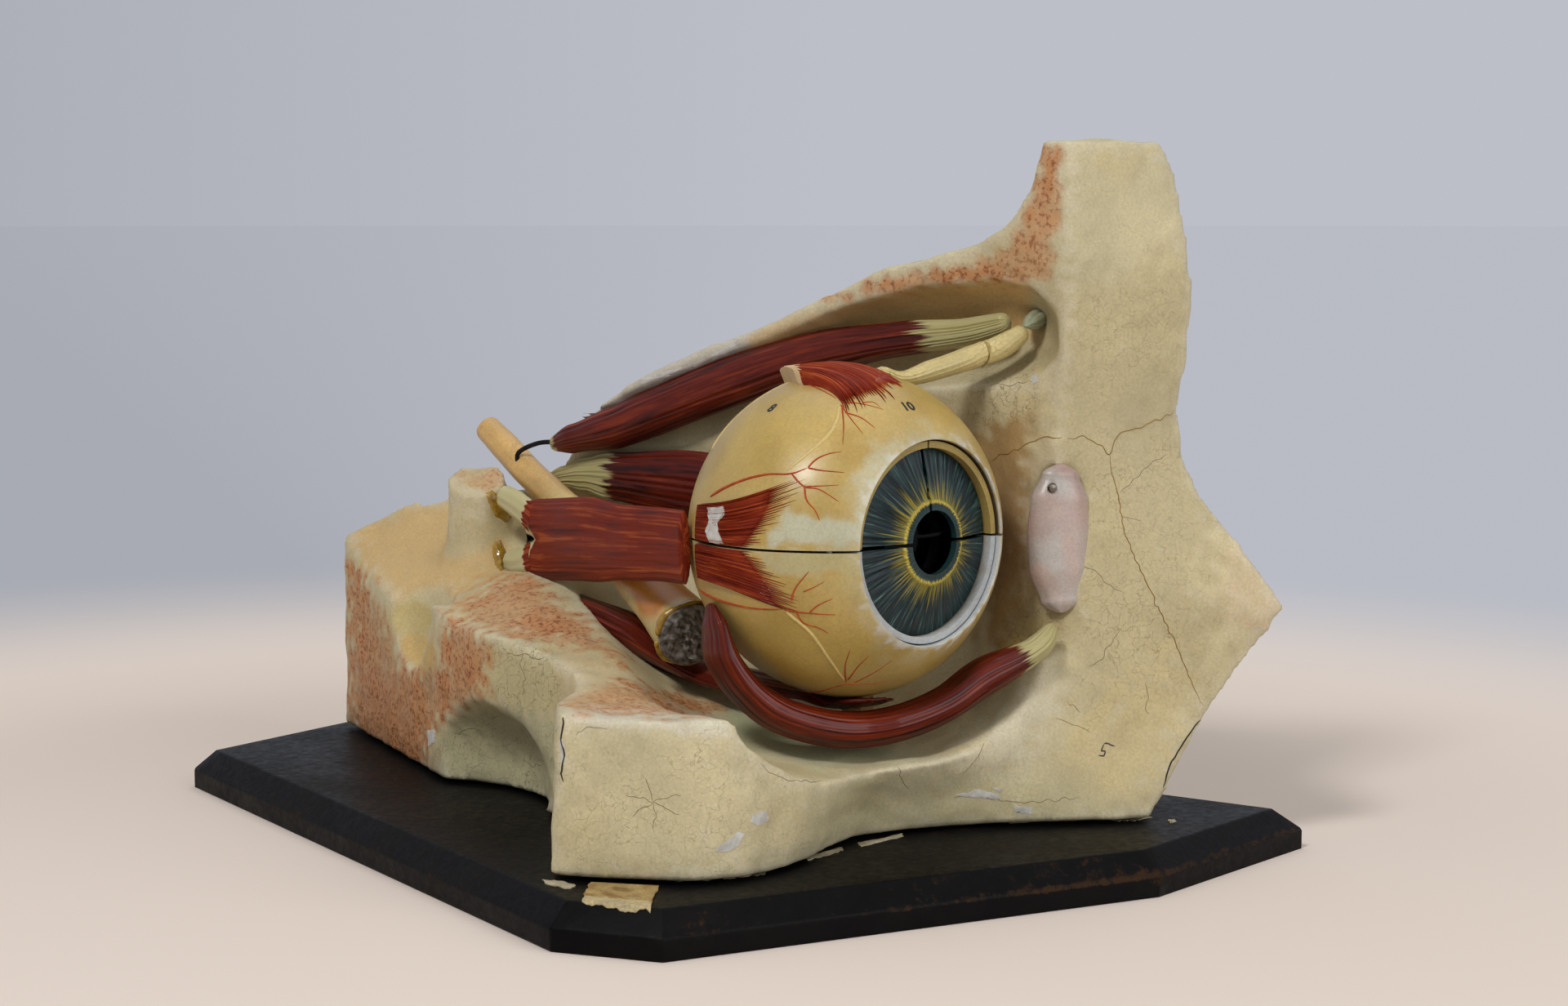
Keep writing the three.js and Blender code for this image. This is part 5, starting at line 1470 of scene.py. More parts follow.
@dataclass
class Eyeball:
    """Shells of the globe: sclera in halves, choroid and iris in a half and two quarters."""

    wall: float = 5.0
    choroid_wall: float = 4.0
    lift_gap: float = 1.0
    opening: float = 37.0
    collar: float = 36.4
    collar_wall: float = 2.4
    collar_front: float = 38.34
    iris_rim: float = 33.7
    iris_front: float = 34.94
    iris_rise: float = 5.0
    iris_wall: float = 2.6
    pupil: float = 11.6
    pupil_offset: float = 2.0
    ground: str = "#b89a50"
    tints: tuple[Zone, ...] = (
        Zone(((945, 655), (965, 625), (1010, 632), (1055, 640), (1060, 668), (945, 668)), "#bcb99c",
             0.95, 14),
        Zone(((930, 680), (960, 676), (1050, 678), (1056, 700), (1000, 706), (945, 702)), "#b6ac80",
             0.8, 12),
        Zone(((1000, 500), (1110, 470), (1190, 530), (1150, 545), (1060, 545)), "#c0a25e", 0.6, 20),
        Zone(((1040, 590), (1060, 560), (1100, 535), (1085, 600), (1060, 650), (1045, 650)), "#bdb898",
             0.6, 22),
        Zone(((1100, 540), (1130, 520), (1180, 540), (1160, 560)), "#b9b08a", 0.5, 20),
        Zone(((1000, 680), (1056, 680), (1075, 740), (1100, 775), (1060, 760), (1010, 700)), "#b7a568",
             0.5, 24),
    )

    def sclera(self) -> None:
        """Make both halves of the sclera with their tints."""
        outer = shell_arc(GLOBE.radius, 180, math.degrees(math.asin(self.opening / GLOBE.radius)) + 0.8, 96)
        edge_depth = outer[-1, 1]
        lip = np.array([[self.opening + wider, edge_depth + higher, 0]
                        for wider, higher in ((0.25, 0.1), (0.02, -0.4), (0, -1.2), (0, -3))])
        inside = GLOBE.radius - self.wall
        inner = shell_arc(inside, math.degrees(math.asin(self.opening / inside)), 180, 100)
        profile = np.concatenate([outer, lip, inner])
        paint_finish = AgedPaint("sclera_oil_paint", blotch=0.16, speck=0.1, crack_mm=14, crack=0.12,
                                 grain_height_mm=0.07, roughness=0.4, shine=0.25)
        for sector, name, body, node in (
            (Sector.UPPER, "sclera_upper_half", Body.UPPER_SCLERA, "sclera_upper"),
            (Sector.LOWER, "sclera_lower_half", Body.SOCKET, "sclera_lower"),
        ):
            skin, _ = turned(profile, sector, 200)
            away = skin.points - GLOBE.centre
            reach = np.linalg.norm(away, axis=1)
            shell = np.linalg.norm(GLOBE.at(away) - GLOBE.centre, axis=1) - reach
            normals = unit(away)
            tint = even(self.ground, len(reach))
            tint = paint(tint, 0.5 * smoothstep(-0.8, 1.4, ripple(away, 45, 3)), "#bda267")
            tint = paint(tint, 0.5 * smoothstep(0.2, 1.6, ripple(away, 30, 4)), "#a98a42")
            around = np.linalg.norm(away - (away @ GLOBE.sight)[:, None] * GLOBE.sight, axis=1)
            front = away @ GLOBE.sight > 0
            limbus = (1 - smoothstep(1, 9, around - self.opening + 2.2 * ripple(away, 11, 6))) * front
            tint = paint(tint, 0.3 * limbus, "#bdb595")
            chips = (1 - smoothstep(0.5, 2.4, around - self.opening + 1.3 * ripple(away, 5, 8))) * front
            tint = paint(tint, 0.85 * chips, "#cfccc0")
            seam = 1 - smoothstep(0.6, 1.5, np.abs(away[:, 2]) + 0.35 * ripple(away, 6, 9))
            tint = paint(tint, 0.5 * seam, "#bfb796")
            for zone in self.tints:
                tint = paint(tint, zone.weight(skin.points, normals), zone.colour)
            lip_share = smoothstep(0.5, 1.0, shell) * (around < self.opening + 0.6) * front
            # On the upper half the lip keeps its ochre only for 1.4 mm, and the painted shade below takes
            # the rest of it.
            if sector is Sector.UPPER:
                lip_share = lip_share * (1 - smoothstep(0.9, 1.4, shell))
            tint = paint(tint, lip_share, "#a59560" if sector is Sector.UPPER else "#b9bdc0")
            # Painted shade: everything deeper than about 1.4 mm below the outer face (the inside of the
            # shell, the deeper lip and the cut faces at the seam) is painted dark brown for the shade in the
            # gaps between the shells.
            tint = paint(tint, smoothstep(0.6, 1.4, shell) * (1 - lip_share), "#3f3222")
            fit(skin.marked(tint=tint).piece(name, 30), paint_finish, body, [node])

    def choroid(self) -> None:
        """Make the lower half and the upper quarters of the choroid."""
        outside = GLOBE.radius - self.wall - self.lift_gap
        inside = outside - self.choroid_wall
        collar = [self.collar, self.collar_front, 0.0]
        outer = shell_arc(outside, 180, math.degrees(math.asin(self.collar / outside)), 60)
        rim = self.collar - self.collar_wall
        inner = shell_arc(inside, math.degrees(math.asin(rim / inside)), 180, 60)
        profile = np.concatenate([outer, [collar, [rim, self.collar_front, 0.0]], inner])
        ochre = AgedPaint("choroid_distemper", blotch=0.25, crack=0.15, roughness=0.6)
        for sector, body, node in self.quarters("choroid"):
            skin, _ = turned(profile, sector, 150)
            depth = (skin.points - GLOBE.centre) @ GLOBE.sight
            front = smoothstep(self.iris_front, self.collar_front, depth + 0.5 * ripple(skin.points, 6, 2))
            tint = even("#917539", len(depth))
            tint = paint(tint, front, "#b4b8b8" if sector is Sector.LOWER else "#a48d4d")
            # Painted shade: on the upper quarters the collar's inner wall, between the iris and the front
            # edge, is painted near black for the shade in that recess.
            if sector is not Sector.LOWER:
                recess_shade = smoothstep(self.iris_front - 1, self.iris_front, depth)
                recess_shade = recess_shade * (1 - smoothstep(self.collar_front - 1.3, self.collar_front - 0.6, depth))
                tint = paint(tint, recess_shade, "#21180c")
            dark = 1 - smoothstep(20, 33, depth)
            skin = skin.marked(tint=paint(tint, dark, "#1a130d"))
            fit(skin.piece(f"choroid_{sector.value}", 30), ochre, body, [node])

    def quarters(self, part: str) -> list[tuple[Sector, Body, str]]:
        """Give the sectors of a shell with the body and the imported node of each."""
        return [
            (Sector.LOWER, Body.LOWER_CHOROID, f"{part}_lower"),
            (Sector.UPPER_TEMPORAL, Body.UPPER_CHOROID, f"{part}_upper_temporal"),
            (Sector.UPPER_NASAL, Body.UPPER_CHOROID, f"{part}_upper_nasal"),
        ]

    def iris(self) -> None:
        """Make the iris sectors with radial fibres in relief."""
        steps = 70
        s = np.linspace(0, 1, steps)
        radius = self.pupil + (self.iris_rim - self.pupil) * s
        front = self.iris_front + self.iris_rise * (1 - s)
        offset = self.pupil_offset * (1 - s)
        face = np.stack([radius, front, offset], -1)
        back = np.stack([radius, front - self.iris_wall, offset], -1)[::-1]
        profile = np.concatenate([face, back])
        for sector, body, node in self.quarters("iris"):
            columns = 260 if sector is Sector.LOWER else 140
            skin, angle = turned(profile, sector, columns, 0.7)
            way = np.tile(np.r_[s, s[::-1]], columns)
            on_face = np.tile(np.r_[np.ones(steps), np.zeros(steps)], columns)
            ridges = strands(70, 0.16, 11)(angle, way * 30)
            ridges *= on_face * np.sin(np.pi * np.clip(way, 0, 1)) ** 0.6
            ruff = 0.5 * np.exp(-(((way - 0.14) / 0.05) ** 2)) * on_face
            skin.points += (ridges + ruff)[:, None] * GLOBE.sight
            skin = skin.marked(polar=np.stack([np.cos(angle), np.sin(angle), way], -1))
            fit(skin.piece(f"iris_{sector.value}", 35), IrisPaint(), body, [node])

    def insides(self) -> None:
        """Make the glass body and the lens that the shells hold."""
        inside = GLOBE.radius - self.wall - self.choroid_wall - 2 * self.lift_gap
        back = self.iris_front - self.iris_wall
        flat = back - 6.5
        shoulder = math.degrees(math.acos(flat / (inside - GLOBE.radius + GLOBE.depth)))
        dome = shell_arc(inside, 180, shoulder, 70)
        seat = np.array([[23, flat, 0], [23, flat - 2.5, 0], [20, flat - 5, 0], [12, flat - 8, 0],
                         [0, flat - 9.5, 0]])
        face = np.concatenate([dome, seat])
        skin, _ = turned(face, Sector.WHOLE, 160)
        # Painted shade: the glass body is tinted dark grey so that the pupil shows black, standing in for
        # the shade inside the eye.
        glass = PlainMatter("vitreous_glass", "#5f6864", "#56605c", 30, 0.12, transmission=1.0, ior=1.12)
        fit(skin.piece("vitreous_glass_body", 30), glass, Body.VITREOUS,
            ["vitreous_body"])
        t = np.linspace(0, np.pi, 80)
        middle = back - 5.5
        bulge = np.where(np.cos(t) < 0, 4.0, 8.0)
        lens = np.stack([21.9 * np.sin(t), middle - bulge * np.cos(t), 0 * t], -1)
        skin, _ = turned(lens, Sector.WHOLE, 120)
        # Painted shade: the lens is tinted dark grey too, for the same shade seen through the pupil.
        clear = PlainMatter("lens_glass", "#6c716d", "#636864", 30, 0.08, transmission=1.0, ior=1.18)
        fit(skin.piece("crystalline_lens_glass", 60), clear, Body.VITREOUS,
            ["crystalline_lens"])


@dataclass
class GlobePainting:
    """Blood vessels, raised edges and numerals on the sclera, placed by the photograph's pixels."""

    upper_vessels: tuple[tuple[Pixels, float], ...] = (
        (((869, 609), (902, 591), (939, 581), (969, 580), (989, 573)), 0.62),
        (((989, 573), (999, 563), (1014, 556), (1031, 553)), 0.4),
        (((989, 573), (1005, 576), (1035, 579)), 0.4),
        (((969, 580), (985, 596), (1002, 599), (1028, 615)), 0.42),
        (((985, 596), (1008, 595), (1028, 594)), 0.3),
        (((985, 596), (988, 613), (998, 625), (1004, 638)), 0.4),
        (((979, 469), (1002, 476), (1025, 489)), 0.4),
        (((1030, 493), (1051, 494), (1083, 502)), 0.36),
        (((1029, 495), (1042, 513), (1057, 532)), 0.34),
        (((1034, 505), (1055, 512), (1072, 525)), 0.34),
        (((1031, 497), (1033, 520), (1032, 545)), 0.36),
        (((1055, 493), (1070, 493), (1078, 499)), 0.26),
    )
    lower_vessels: tuple[tuple[Pixels, float], ...] = (
        (((856, 721), (887, 737), (916, 744), (960, 746)), 0.62),
        (((969, 736), (973, 722), (991, 699)), 0.42),
        (((991, 750), (1002, 741), (1020, 733)), 0.34),
        (((960, 746), (975, 749), (1005, 752), (1024, 753)), 0.4),
        (((975, 749), (983, 762), (1003, 769), (1015, 776)), 0.36),
        (((983, 725), (995, 720), (1010, 712)), 0.26),
        (((984, 855), (1002, 847), (1031, 839), (1088, 834)), 0.45),
        (((1036, 836), (1035, 815), (1041, 795)), 0.32),
        (((1038, 833), (1051, 816), (1064, 803)), 0.3),
        (((1045, 836), (1070, 824), (1093, 808)), 0.28),
    )
    upper_edges: tuple[Pixels, ...] = (
        ((1028, 496), (1025, 513), (1014, 533), (988, 556), (962, 578)),
        ((870, 553), (902, 508), (945, 476), (968, 466)),
    )
    lower_edges: tuple[Pixels, ...] = (((961, 748), (991, 774), (1014, 806), (1037, 836)),)

    def build(self) -> None:
        """Make the vessels, the edges and the numerals."""
        red = BrushedPaint("vessel_paint", "#96361a", "#a8451f", "#b85526", shine=0.2)
        ridge = AgedPaint("raised_edge_paint", "#cbb06c", blotch=0.15, crack=0.05, roughness=0.42,
                          shine=0.2)
        for name, vessels, edges, body in (
            ("upper", self.upper_vessels, self.upper_edges, Body.UPPER_SCLERA),
            ("lower", self.lower_vessels, self.lower_edges, Body.SOCKET),
        ):
            tubes = [tube_on_globe(GLOBE.seen(line, CAMERA), size, size * 0.35) for line, size in vessels]
            skin = joined(tubes)
            skin = skin.marked(fibre=skin.points, tendon=np.zeros(len(skin.points)))
            fit(skin.piece(f"blood_vessels_{name}", 80), red, body)
            ridges = [tube_on_globe(GLOBE.seen(line, CAMERA), 0.85, 0.7, -0.3) for line in edges]
            fit(joined(ridges).piece(f"raised_edges_{name}", 80), ridge, body)
        ink = PlainMatter("numeral_ink", "#0d0d0c", "#171614", 1.0, 0.5)
        for text, pixel in (("8", (945, 500)), ("10", (1112, 498))):
            self.numeral(text, pixel, ink)

    def numeral(self, text: str, pixel: tuple[float, float], ink: Finish) -> None:
        """Write a number on the upper half of the globe, its face following the curve.

        Args:
            text: The number.
            pixel: Where its middle shows in the photograph.
            ink: Its finish.
        """
        curve = bpy.data.curves.new(f"numeral_{text}", "FONT")
        curve.body, curve.size, curve.extrude, curve.offset = text, 5.8, 0.2, 0.2
        curve.align_x, curve.align_y = "CENTER", "CENTER"
        made = link(f"numeral_{text}", curve)
        mesh = bpy.data.meshes.new_from_object(made.evaluated_get(bpy.context.evaluated_depsgraph_get()))
        bpy.data.objects.remove(made)
        places = read(mesh.vertices, "co")
        out = GLOBE.seen([pixel], CAMERA)[0]
        east = unit(np.cross([0.0, 0.0, 1.0], out))
        north = np.cross(out, east)
        foot = GLOBE.at(out)
        spread = foot + places[:, :1] * east + places[:, 1:2] * north - GLOBE.centre
        write(mesh, GLOBE.at(spread, np.where(places[:, 2] > 0, 0.08, -0.2)))
        fit(link(f"numeral_{text}", mesh), ink, Body.UPPER_SCLERA)


def thread(surface: Surface, line: Pixels, radius: float) -> Skin | None:
    """Lay a thin, slightly crooked thread where a line of the photograph falls on a piece.

    Args:
        surface: Finds the points of the piece.
        line: Corners of the line in pixels.
        radius: Half of its width in millimetres.

    Returns:
        The thread, or None where the line misses the piece.
    """
    spans = np.linalg.norm(np.diff(np.asarray(line, float), axis=0), axis=1)
    points, normals = surface.under(line, max(5, int(spans.sum() / 3)))
    facing = (normals * CAMERA.towards(points)).sum(1) > 0.3
    points, normals = points[facing], normals[facing]
    if len(points) < 4:
        return None
    steps = np.linalg.norm(np.diff(points, axis=0), axis=1)
    leaps = np.flatnonzero(steps > 5 * np.median(steps))
    if len(leaps):
        points, normals = points[: leaps[0] + 1], normals[: leaps[0] + 1]
    if len(points) < 4:
        return None
    points = points + 0.35 * unit(np.cross(normals, CAMERA.axes()[2])) * ripple(points, 5, 3)[:, None]
    stops = [(point, radius, radius) for point in points]
    outward = normals.mean(0)
    made = sweep(stops, lambda p: np.tile(outward, (len(p), 1)), 3 * len(stops), 6, None, (0.2, 0.2))
    return made.marked()


def plate(surface: Surface, outline: Pixels, edge: float, middle: float, seed: int = 1) -> Skin | None:
    """Lay a thin ragged plate where an outline of the photograph falls on a piece.

    Args:
        surface: Finds the points of the piece.
        outline: Corners in pixels.
        edge: Height above the surface at its edge, in millimetres.
        middle: Height at its middle.
        seed: Seed of the ragged edge.

    Returns:
        The closed plate, or None where the outline misses the piece.
    """
    corners = np.asarray(outline, float)
    closed = np.concatenate([corners, corners[:1]])
    count = 36
    place = np.linspace(0, len(corners), count, endpoint=False)
    ring = np.stack([np.interp(place, np.arange(len(closed)), closed[:, k]) for k in range(2)], -1)
    ring = ring + np.random.default_rng(seed).normal(0, 0.5, ring.shape)
    centre = ring.mean(0)
    shares = np.array([1.0, 0.7, 0.4, 0.02])
    spots = centre + (ring - centre) * shares[:, None, None]
    points, normals = surface.under(spots.reshape(-1, 2).tolist())
    if len(points) < spots.size / 2:
        return None
    points, normals = (values.reshape(len(shares), count, 3) for values in (points, normals))
    lift = (middle + (edge - middle) * shares**2)[:, None, None]
    rows = np.concatenate([(points - 0.5 * normals)[::-1], points + lift * normals])
    return Skin(rows.reshape(-1, 3), grid_faces(2 * len(shares), count))


@dataclass
class Wear:
    """Cracks, lost flakes, glue and a brushed numeral, placed by the photograph's pixels."""

    ochre_cracks: tuple[Pixels, ...] = (
        ((1214, 565), (1228, 556), (1246, 551), (1262, 542), (1283, 535), (1300, 536)),
        ((1306, 536), (1329, 536), (1347, 546), (1359, 555), (1366, 539), (1379, 527), (1395, 525),
         (1409, 517), (1425, 511), (1441, 502)),
        ((1359, 555), (1361, 578), (1368, 601), (1371, 617), (1374, 638), (1378, 656), (1391, 684),
         (1404, 713), (1421, 748), (1434, 776), (1446, 803), (1457, 831), (1474, 866)),
    )
    dark_cracks: tuple[Pixels, ...] = (
        ((1372, 605), (1385, 590), (1398, 578), (1411, 566), (1430, 557)),
        ((1374, 633), (1386, 635), (1398, 638)),
        ((1315, 695), (1338, 697), (1354, 713), (1375, 727)),
        ((1292, 880), (1317, 888), (1335, 896)), ((1306, 858), (1324, 874)),
        ((1402, 835), (1406, 854), (1403, 870), (1408, 875)),
        ((1372, 771), (1356, 794), (1347, 808), (1333, 817)),
        ((1204, 909), (1197, 927), (1179, 948)),
        ((1165, 977), (1200, 973), (1227, 980), (1264, 983), (1301, 979), (1324, 978)),
        ((1209, 474), (1222, 470), (1235, 474), (1250, 469), (1267, 468)),
        ((800, 983), (783, 977), (765, 974)), ((800, 983), (795, 965), (790, 952)),
        ((800, 983), (818, 976), (835, 974)), ((800, 983), (818, 992), (832, 999)),
        ((800, 983), (801, 1000), (799, 1016)), ((800, 983), (786, 992), (774, 1000)),
        ((1098, 932), (1103, 950), (1112, 968)), ((760, 862), (790, 872), (822, 868)),
        ((703, 900), (720, 890), (745, 893)), ((930, 935), (950, 950), (985, 958), (1010, 956)),
        ((615, 795), (628, 803), (640, 800), (655, 808), (668, 806)),
        ((640, 800), (637, 815), (643, 830), (640, 845)), ((600, 880), (618, 876), (637, 882), (655, 878)),
        ((640, 930), (652, 938), (668, 936)), ((560, 900), (575, 892), (590, 896)),
    )
    edge_cracks: tuple[Pixels, ...] = (
        ((1530, 808), (1503, 845), (1480, 868), (1453, 904), (1434, 934), (1424, 966)),
        ((687, 868), (690, 884), (687, 905), (691, 925), (687, 945), (690, 960)),
    )
    flakes: tuple[Pixels, ...] = (
        ((920, 998), (938, 993), (942, 1004), (928, 1011), (919, 1007)),
        ((880, 1036), (893, 1028), (905, 1018), (911, 1022), (903, 1038), (888, 1044), (876, 1043)),
        ((1241, 986), (1264, 990), (1262, 997), (1243, 994)),
        ((1168, 974), (1200, 967), (1226, 974), (1222, 979), (1198, 977)),
        ((523, 895), (532, 893), (533, 908), (525, 914)), ((650, 961), (661, 965), (660, 974), (651, 971)),
        ((1215, 964), (1228, 966), (1224, 971)), ((686, 905), (690, 905), (692, 930), (687, 940)),
        ((1263, 460), (1270, 458), (1271, 468), (1264, 470)),
        ((783, 467), (800, 458), (846, 446), (850, 452), (815, 463), (790, 474)),
        ((848, 446), (880, 430), (905, 417), (908, 424), (880, 440), (852, 453)),
        ((884, 414), (900, 405), (920, 404), (912, 414), (896, 420)),
    )
    foot_chips: tuple[Pixels, ...] = (
        ((664, 1078), (690, 1080), (706, 1085), (696, 1089), (668, 1083)),
        ((820, 1077), (850, 1074), (872, 1074), (868, 1079), (846, 1078), (830, 1080)),
        ((884, 1072), (904, 1070), (938, 1067), (936, 1071), (906, 1074), (886, 1077)),
        ((985, 1050), (1010, 1044), (1030, 1038), (1033, 1042), (1012, 1048), (990, 1054)),
        ((1050, 1033), (1080, 1027), (1104, 1022), (1106, 1025), (1080, 1031), (1054, 1037)),
        ((1230, 1003), (1290, 1001), (1330, 1000), (1328, 1004), (1290, 1006), (1236, 1008)),
        ((1350, 1001), (1380, 1000), (1412, 1001), (1390, 1005), (1368, 1006)),
        ((1430, 1005), (1439, 1004), (1440, 1007), (1433, 1008)),
    )
    stump_glue: tuple[Pixels, ...] = (
        ((594, 604), (603, 600), (613, 608), (620, 618), (627, 632), (620, 640), (607, 632), (598, 617)),
        ((604, 664), (613, 661), (619, 674), (621, 690), (614, 701), (606, 692), (603, 676)),
    )
    numeral_five: tuple[Pixels, ...] = (
        ((1352, 911), (1358, 912), (1365, 914)),
        ((1352, 911), (1348, 918), (1354, 921), (1352, 926), (1345, 925)),
    )
    pad_chip: Pixels = ((866, 622), (886, 620), (888, 630), (878, 640), (880, 655), (886, 666), (868, 664),
                        (864, 650), (868, 636))

    def lay(
        self, name: str, skins: list[Skin | None], finish: Finish, body: Body = Body.SOCKET,
    ) -> None:
        """Put threads or plates together as one piece."""
        found = [skin for skin in skins if skin is not None]
        log.info("%s: %d of %d lines fall on the piece", name, len(found), len(skins))
        if found:
            fit(joined(found).piece(name, 60), finish, body)

    def plates(self, on: Surface, lines: Sequence[Pixels], edge: float, middle: float) -> list[Skin | None]:
        """Lay a plate with these heights for each outline."""
        return [plate(on, line, edge, middle, i) for i, line in enumerate(lines)]

    def build(self, casting: bpy.types.Object, board: bpy.types.Object, pad: bpy.types.Object) -> None:
        """Lay the wear on the casting, the board and the upper pad of the lateral rectus."""
        cast, slab = Surface(casting), Surface(board)
        ochre = PlainMatter("ochre_crack_line", "#9a752f", "#7d5c24", 6.0, 0.7)
        dark = PlainMatter("dark_crack_line", "#5c4a2c", "#857350", 5.0, 0.8)
        black = PlainMatter("open_crack_shade", "#1c1711", "#2c251b", 5.0, 0.8)
        chalk = PlainMatter("bare_plaster", "#cfccc6", "#b5b1a6", 4.0, 0.8, bump_mm=0.2)
        ink = PlainMatter("brushed_ink", "#2b2822", "#3a352c", 2.0, 0.6)
        peel = PlainMatter("peeled_paint", "#b9ae94", "#8f8468", 5.0, 0.8, bump_mm=0.2)
        self.lay("ochre_cracks", [thread(cast, line, 0.2) for line in self.ochre_cracks], ochre)
        self.lay("fine_cracks", [thread(cast, line, 0.1) for line in self.dark_cracks], dark)
        self.lay("edge_cracks", [thread(cast, line, 0.34) for line in self.edge_cracks], black)
        self.lay("lost_flakes", self.plates(cast, self.flakes, 0.12, 0.2), chalk)
        self.lay("numeral_5", [thread(cast, line, 0.28) for line in self.numeral_five], ink)
        self.lay("stump_glue", self.plates(cast, self.stump_glue, 0.1, 1.6), GLUE)
        self.lay("foot_chips", self.plates(slab, self.foot_chips, 0.3, 0.5), peel)
        self.lay("pad_chip", [plate(Surface(pad), self.pad_chip, 0.15, 0.3, 4)], chalk, Body.UPPER_SCLERA)


@dataclass
class Board:
    """Ebonised board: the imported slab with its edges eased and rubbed."""

    ease_mm: float = 0.9
    top: float = 16.0
    bevel: float = 8.0
    screws: tuple[tuple[float, float], ...] = ((-78, 12), (66, -34), (84, 226), (26, 190))
    screw_reach: float = 7.0
    longest: float = 0.009

    def build(self) -> bpy.types.Object:
        """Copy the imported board, round its outer edges, divide it and mark where it is worn."""
        mesh = frame["nodes"]["base_board"].data.copy()
        mesh.name = "ebonised_board"
        work = bmesh.new()
        work.from_mesh(mesh)
        bmesh.ops.remove_doubles(work, verts=work.verts, dist=1e-6)
        bmesh.ops.dissolve_limit(work, angle_limit=0.01, verts=work.verts, edges=work.edges)
        levels = (0.0, self.bevel * MM, self.top * MM)

        def eased(vertex: bmesh.types.BMVert) -> bool:
            """Tell whether a vertex is on the slab's outer edges, away from the screw holes."""
            level = min(abs(vertex.co.z - height) for height in levels) < 1e-5
            place = np.array(vertex.co[:2]) / MM - AXIS[:2]
            clear = min(np.linalg.norm(place - screw) for screw in self.screws) >= self.screw_reach
            return level and clear and len(vertex.link_edges) < 6

        edges = [e for e in work.edges if e.calc_face_angle(0.0) > 0.3 and all(eased(v) for v in e.verts)]
        bmesh.ops.bevel(work, geom=edges, offset=self.ease_mm * MM, segments=3, profile=0.6, affect="EDGES")
        bmesh.ops.triangulate(work, faces=work.faces)
        for _ in range(5):
            long = [e for e in work.edges if e.calc_length() > self.longest]
            if not long:
                break
            bmesh.ops.subdivide_edges(work, edges=long, cuts=1)
            bmesh.ops.triangulate(work, faces=work.faces)
        work.to_mesh(mesh)
        work.free()
        points = read(mesh.vertices, "co") / MM
        worn = self.rubbed(points) * (0.35 + 0.65 * smoothstep(-60, 90, points[:, 0] - 0.4 * points[:, 1]))
        set_mark(mesh, "worn", worn)
        mesh.shade_smooth()
        mesh.set_sharp_from_angle(angle=math.radians(20))
        return fit(link("ebonised_board", mesh), EbonisedWood(), Body.SOCKET,
                   ["base_board"])

    def rubbed(self, points: Array) -> Array:
        """Give how worn each point is: most on the sloping bevel and its edges."""
        height = points[:, 2]
        slope = smoothstep(self.bevel - 2, self.bevel, height) * (1 - smoothstep(15.2, 15.9, height))
        edges = np.exp(-((height - self.bevel) ** 2)) + np.exp(-(((height - self.top) / 0.8) ** 2)) * 0.15
        return np.clip(0.45 * slope + edges, 0, 1)


@dataclass
class PaperLabel:
    """Old paper label, glued flat on the near corner and bent down over the bevel, its end torn."""

    inner: tuple[tuple[float, float], ...] = ((-123.2, 25.2), (-113.8, 2.9))
    outer: tuple[tuple[float, float], ...] = ((-145.3, 11.5), (-140.4, -13.0))
    edge: tuple[tuple[float, float], ...] = ((-154.0, 18.0), (-144.0, -21.0))
    fold: float = 8.0
    top: float = 16.3

    def build(self) -> bpy.types.Object:
        """Make the sheet: a grid between the four corners that bends at the fold.

        A point's height falls by as much as it lies nearer to the board's near edge than the fold.
        """
        u, v = np.meshgrid(np.linspace(0, 1, 60), np.linspace(0, 1, 90), indexing="ij")
        flat = np.stack([u * 25, v * 26, 0 * u], -1)
        end_line, middle = flat * [1, 0, 0], 2 * u - 1
        v_torn = v * (1 - 0.02 * (1 + ripple(end_line, 5, 2)) - 0.004 * ripple(end_line, 2, 5))
        u_torn = u + 0.01 * ripple(flat, 12, 3) * (1 - np.abs(middle)) - 0.008 * ripple(flat, 7, 6) * middle
        inner, outer, (start, end) = np.array(self.inner), np.array(self.outer), np.array(self.edge)
        back = inner[0] + (inner[1] - inner[0]) * u_torn[..., None]
        front = outer[0] + (outer[1] - outer[0]) * u_torn[..., None]
        plan = back + (front - back) * v_torn[..., None]
        along = unit(end - start)
        inset = (plan - start) @ np.array([-along[1], along[0]])
        height = self.top - np.maximum(self.fold - inset, 0) + 0.08 + 0.05 * ripple(flat, 16, 4)
        upper, lower = (np.concatenate([plan, (height + step)[..., None]], -1) for step in (0.3, -0.08))
        tint = even("#a58a55", u.size)
        tint = paint(tint, smoothstep(0, 1.4, ripple(flat.reshape(-1, 3), 9, 7)), "#8d6d38")
        worn = smoothstep(0.72, 0.78, v.ravel() + 0.02 * ripple(flat.reshape(-1, 3), 4, 8))
        tint = paint(tint, 0.8 * worn, "#b9a981")
        skin = sheet(upper, lower, {"tint": tint})
        paper = AgedPaint("aged_label_paper", blotch_mm=7.0, blotch=0.3, speck=0.3, crack=0.0,
                          roughness=0.75)
        return fit(skin.piece("paper_label_sheet", 40), paper, Body.SOCKET, ["paper_label"])


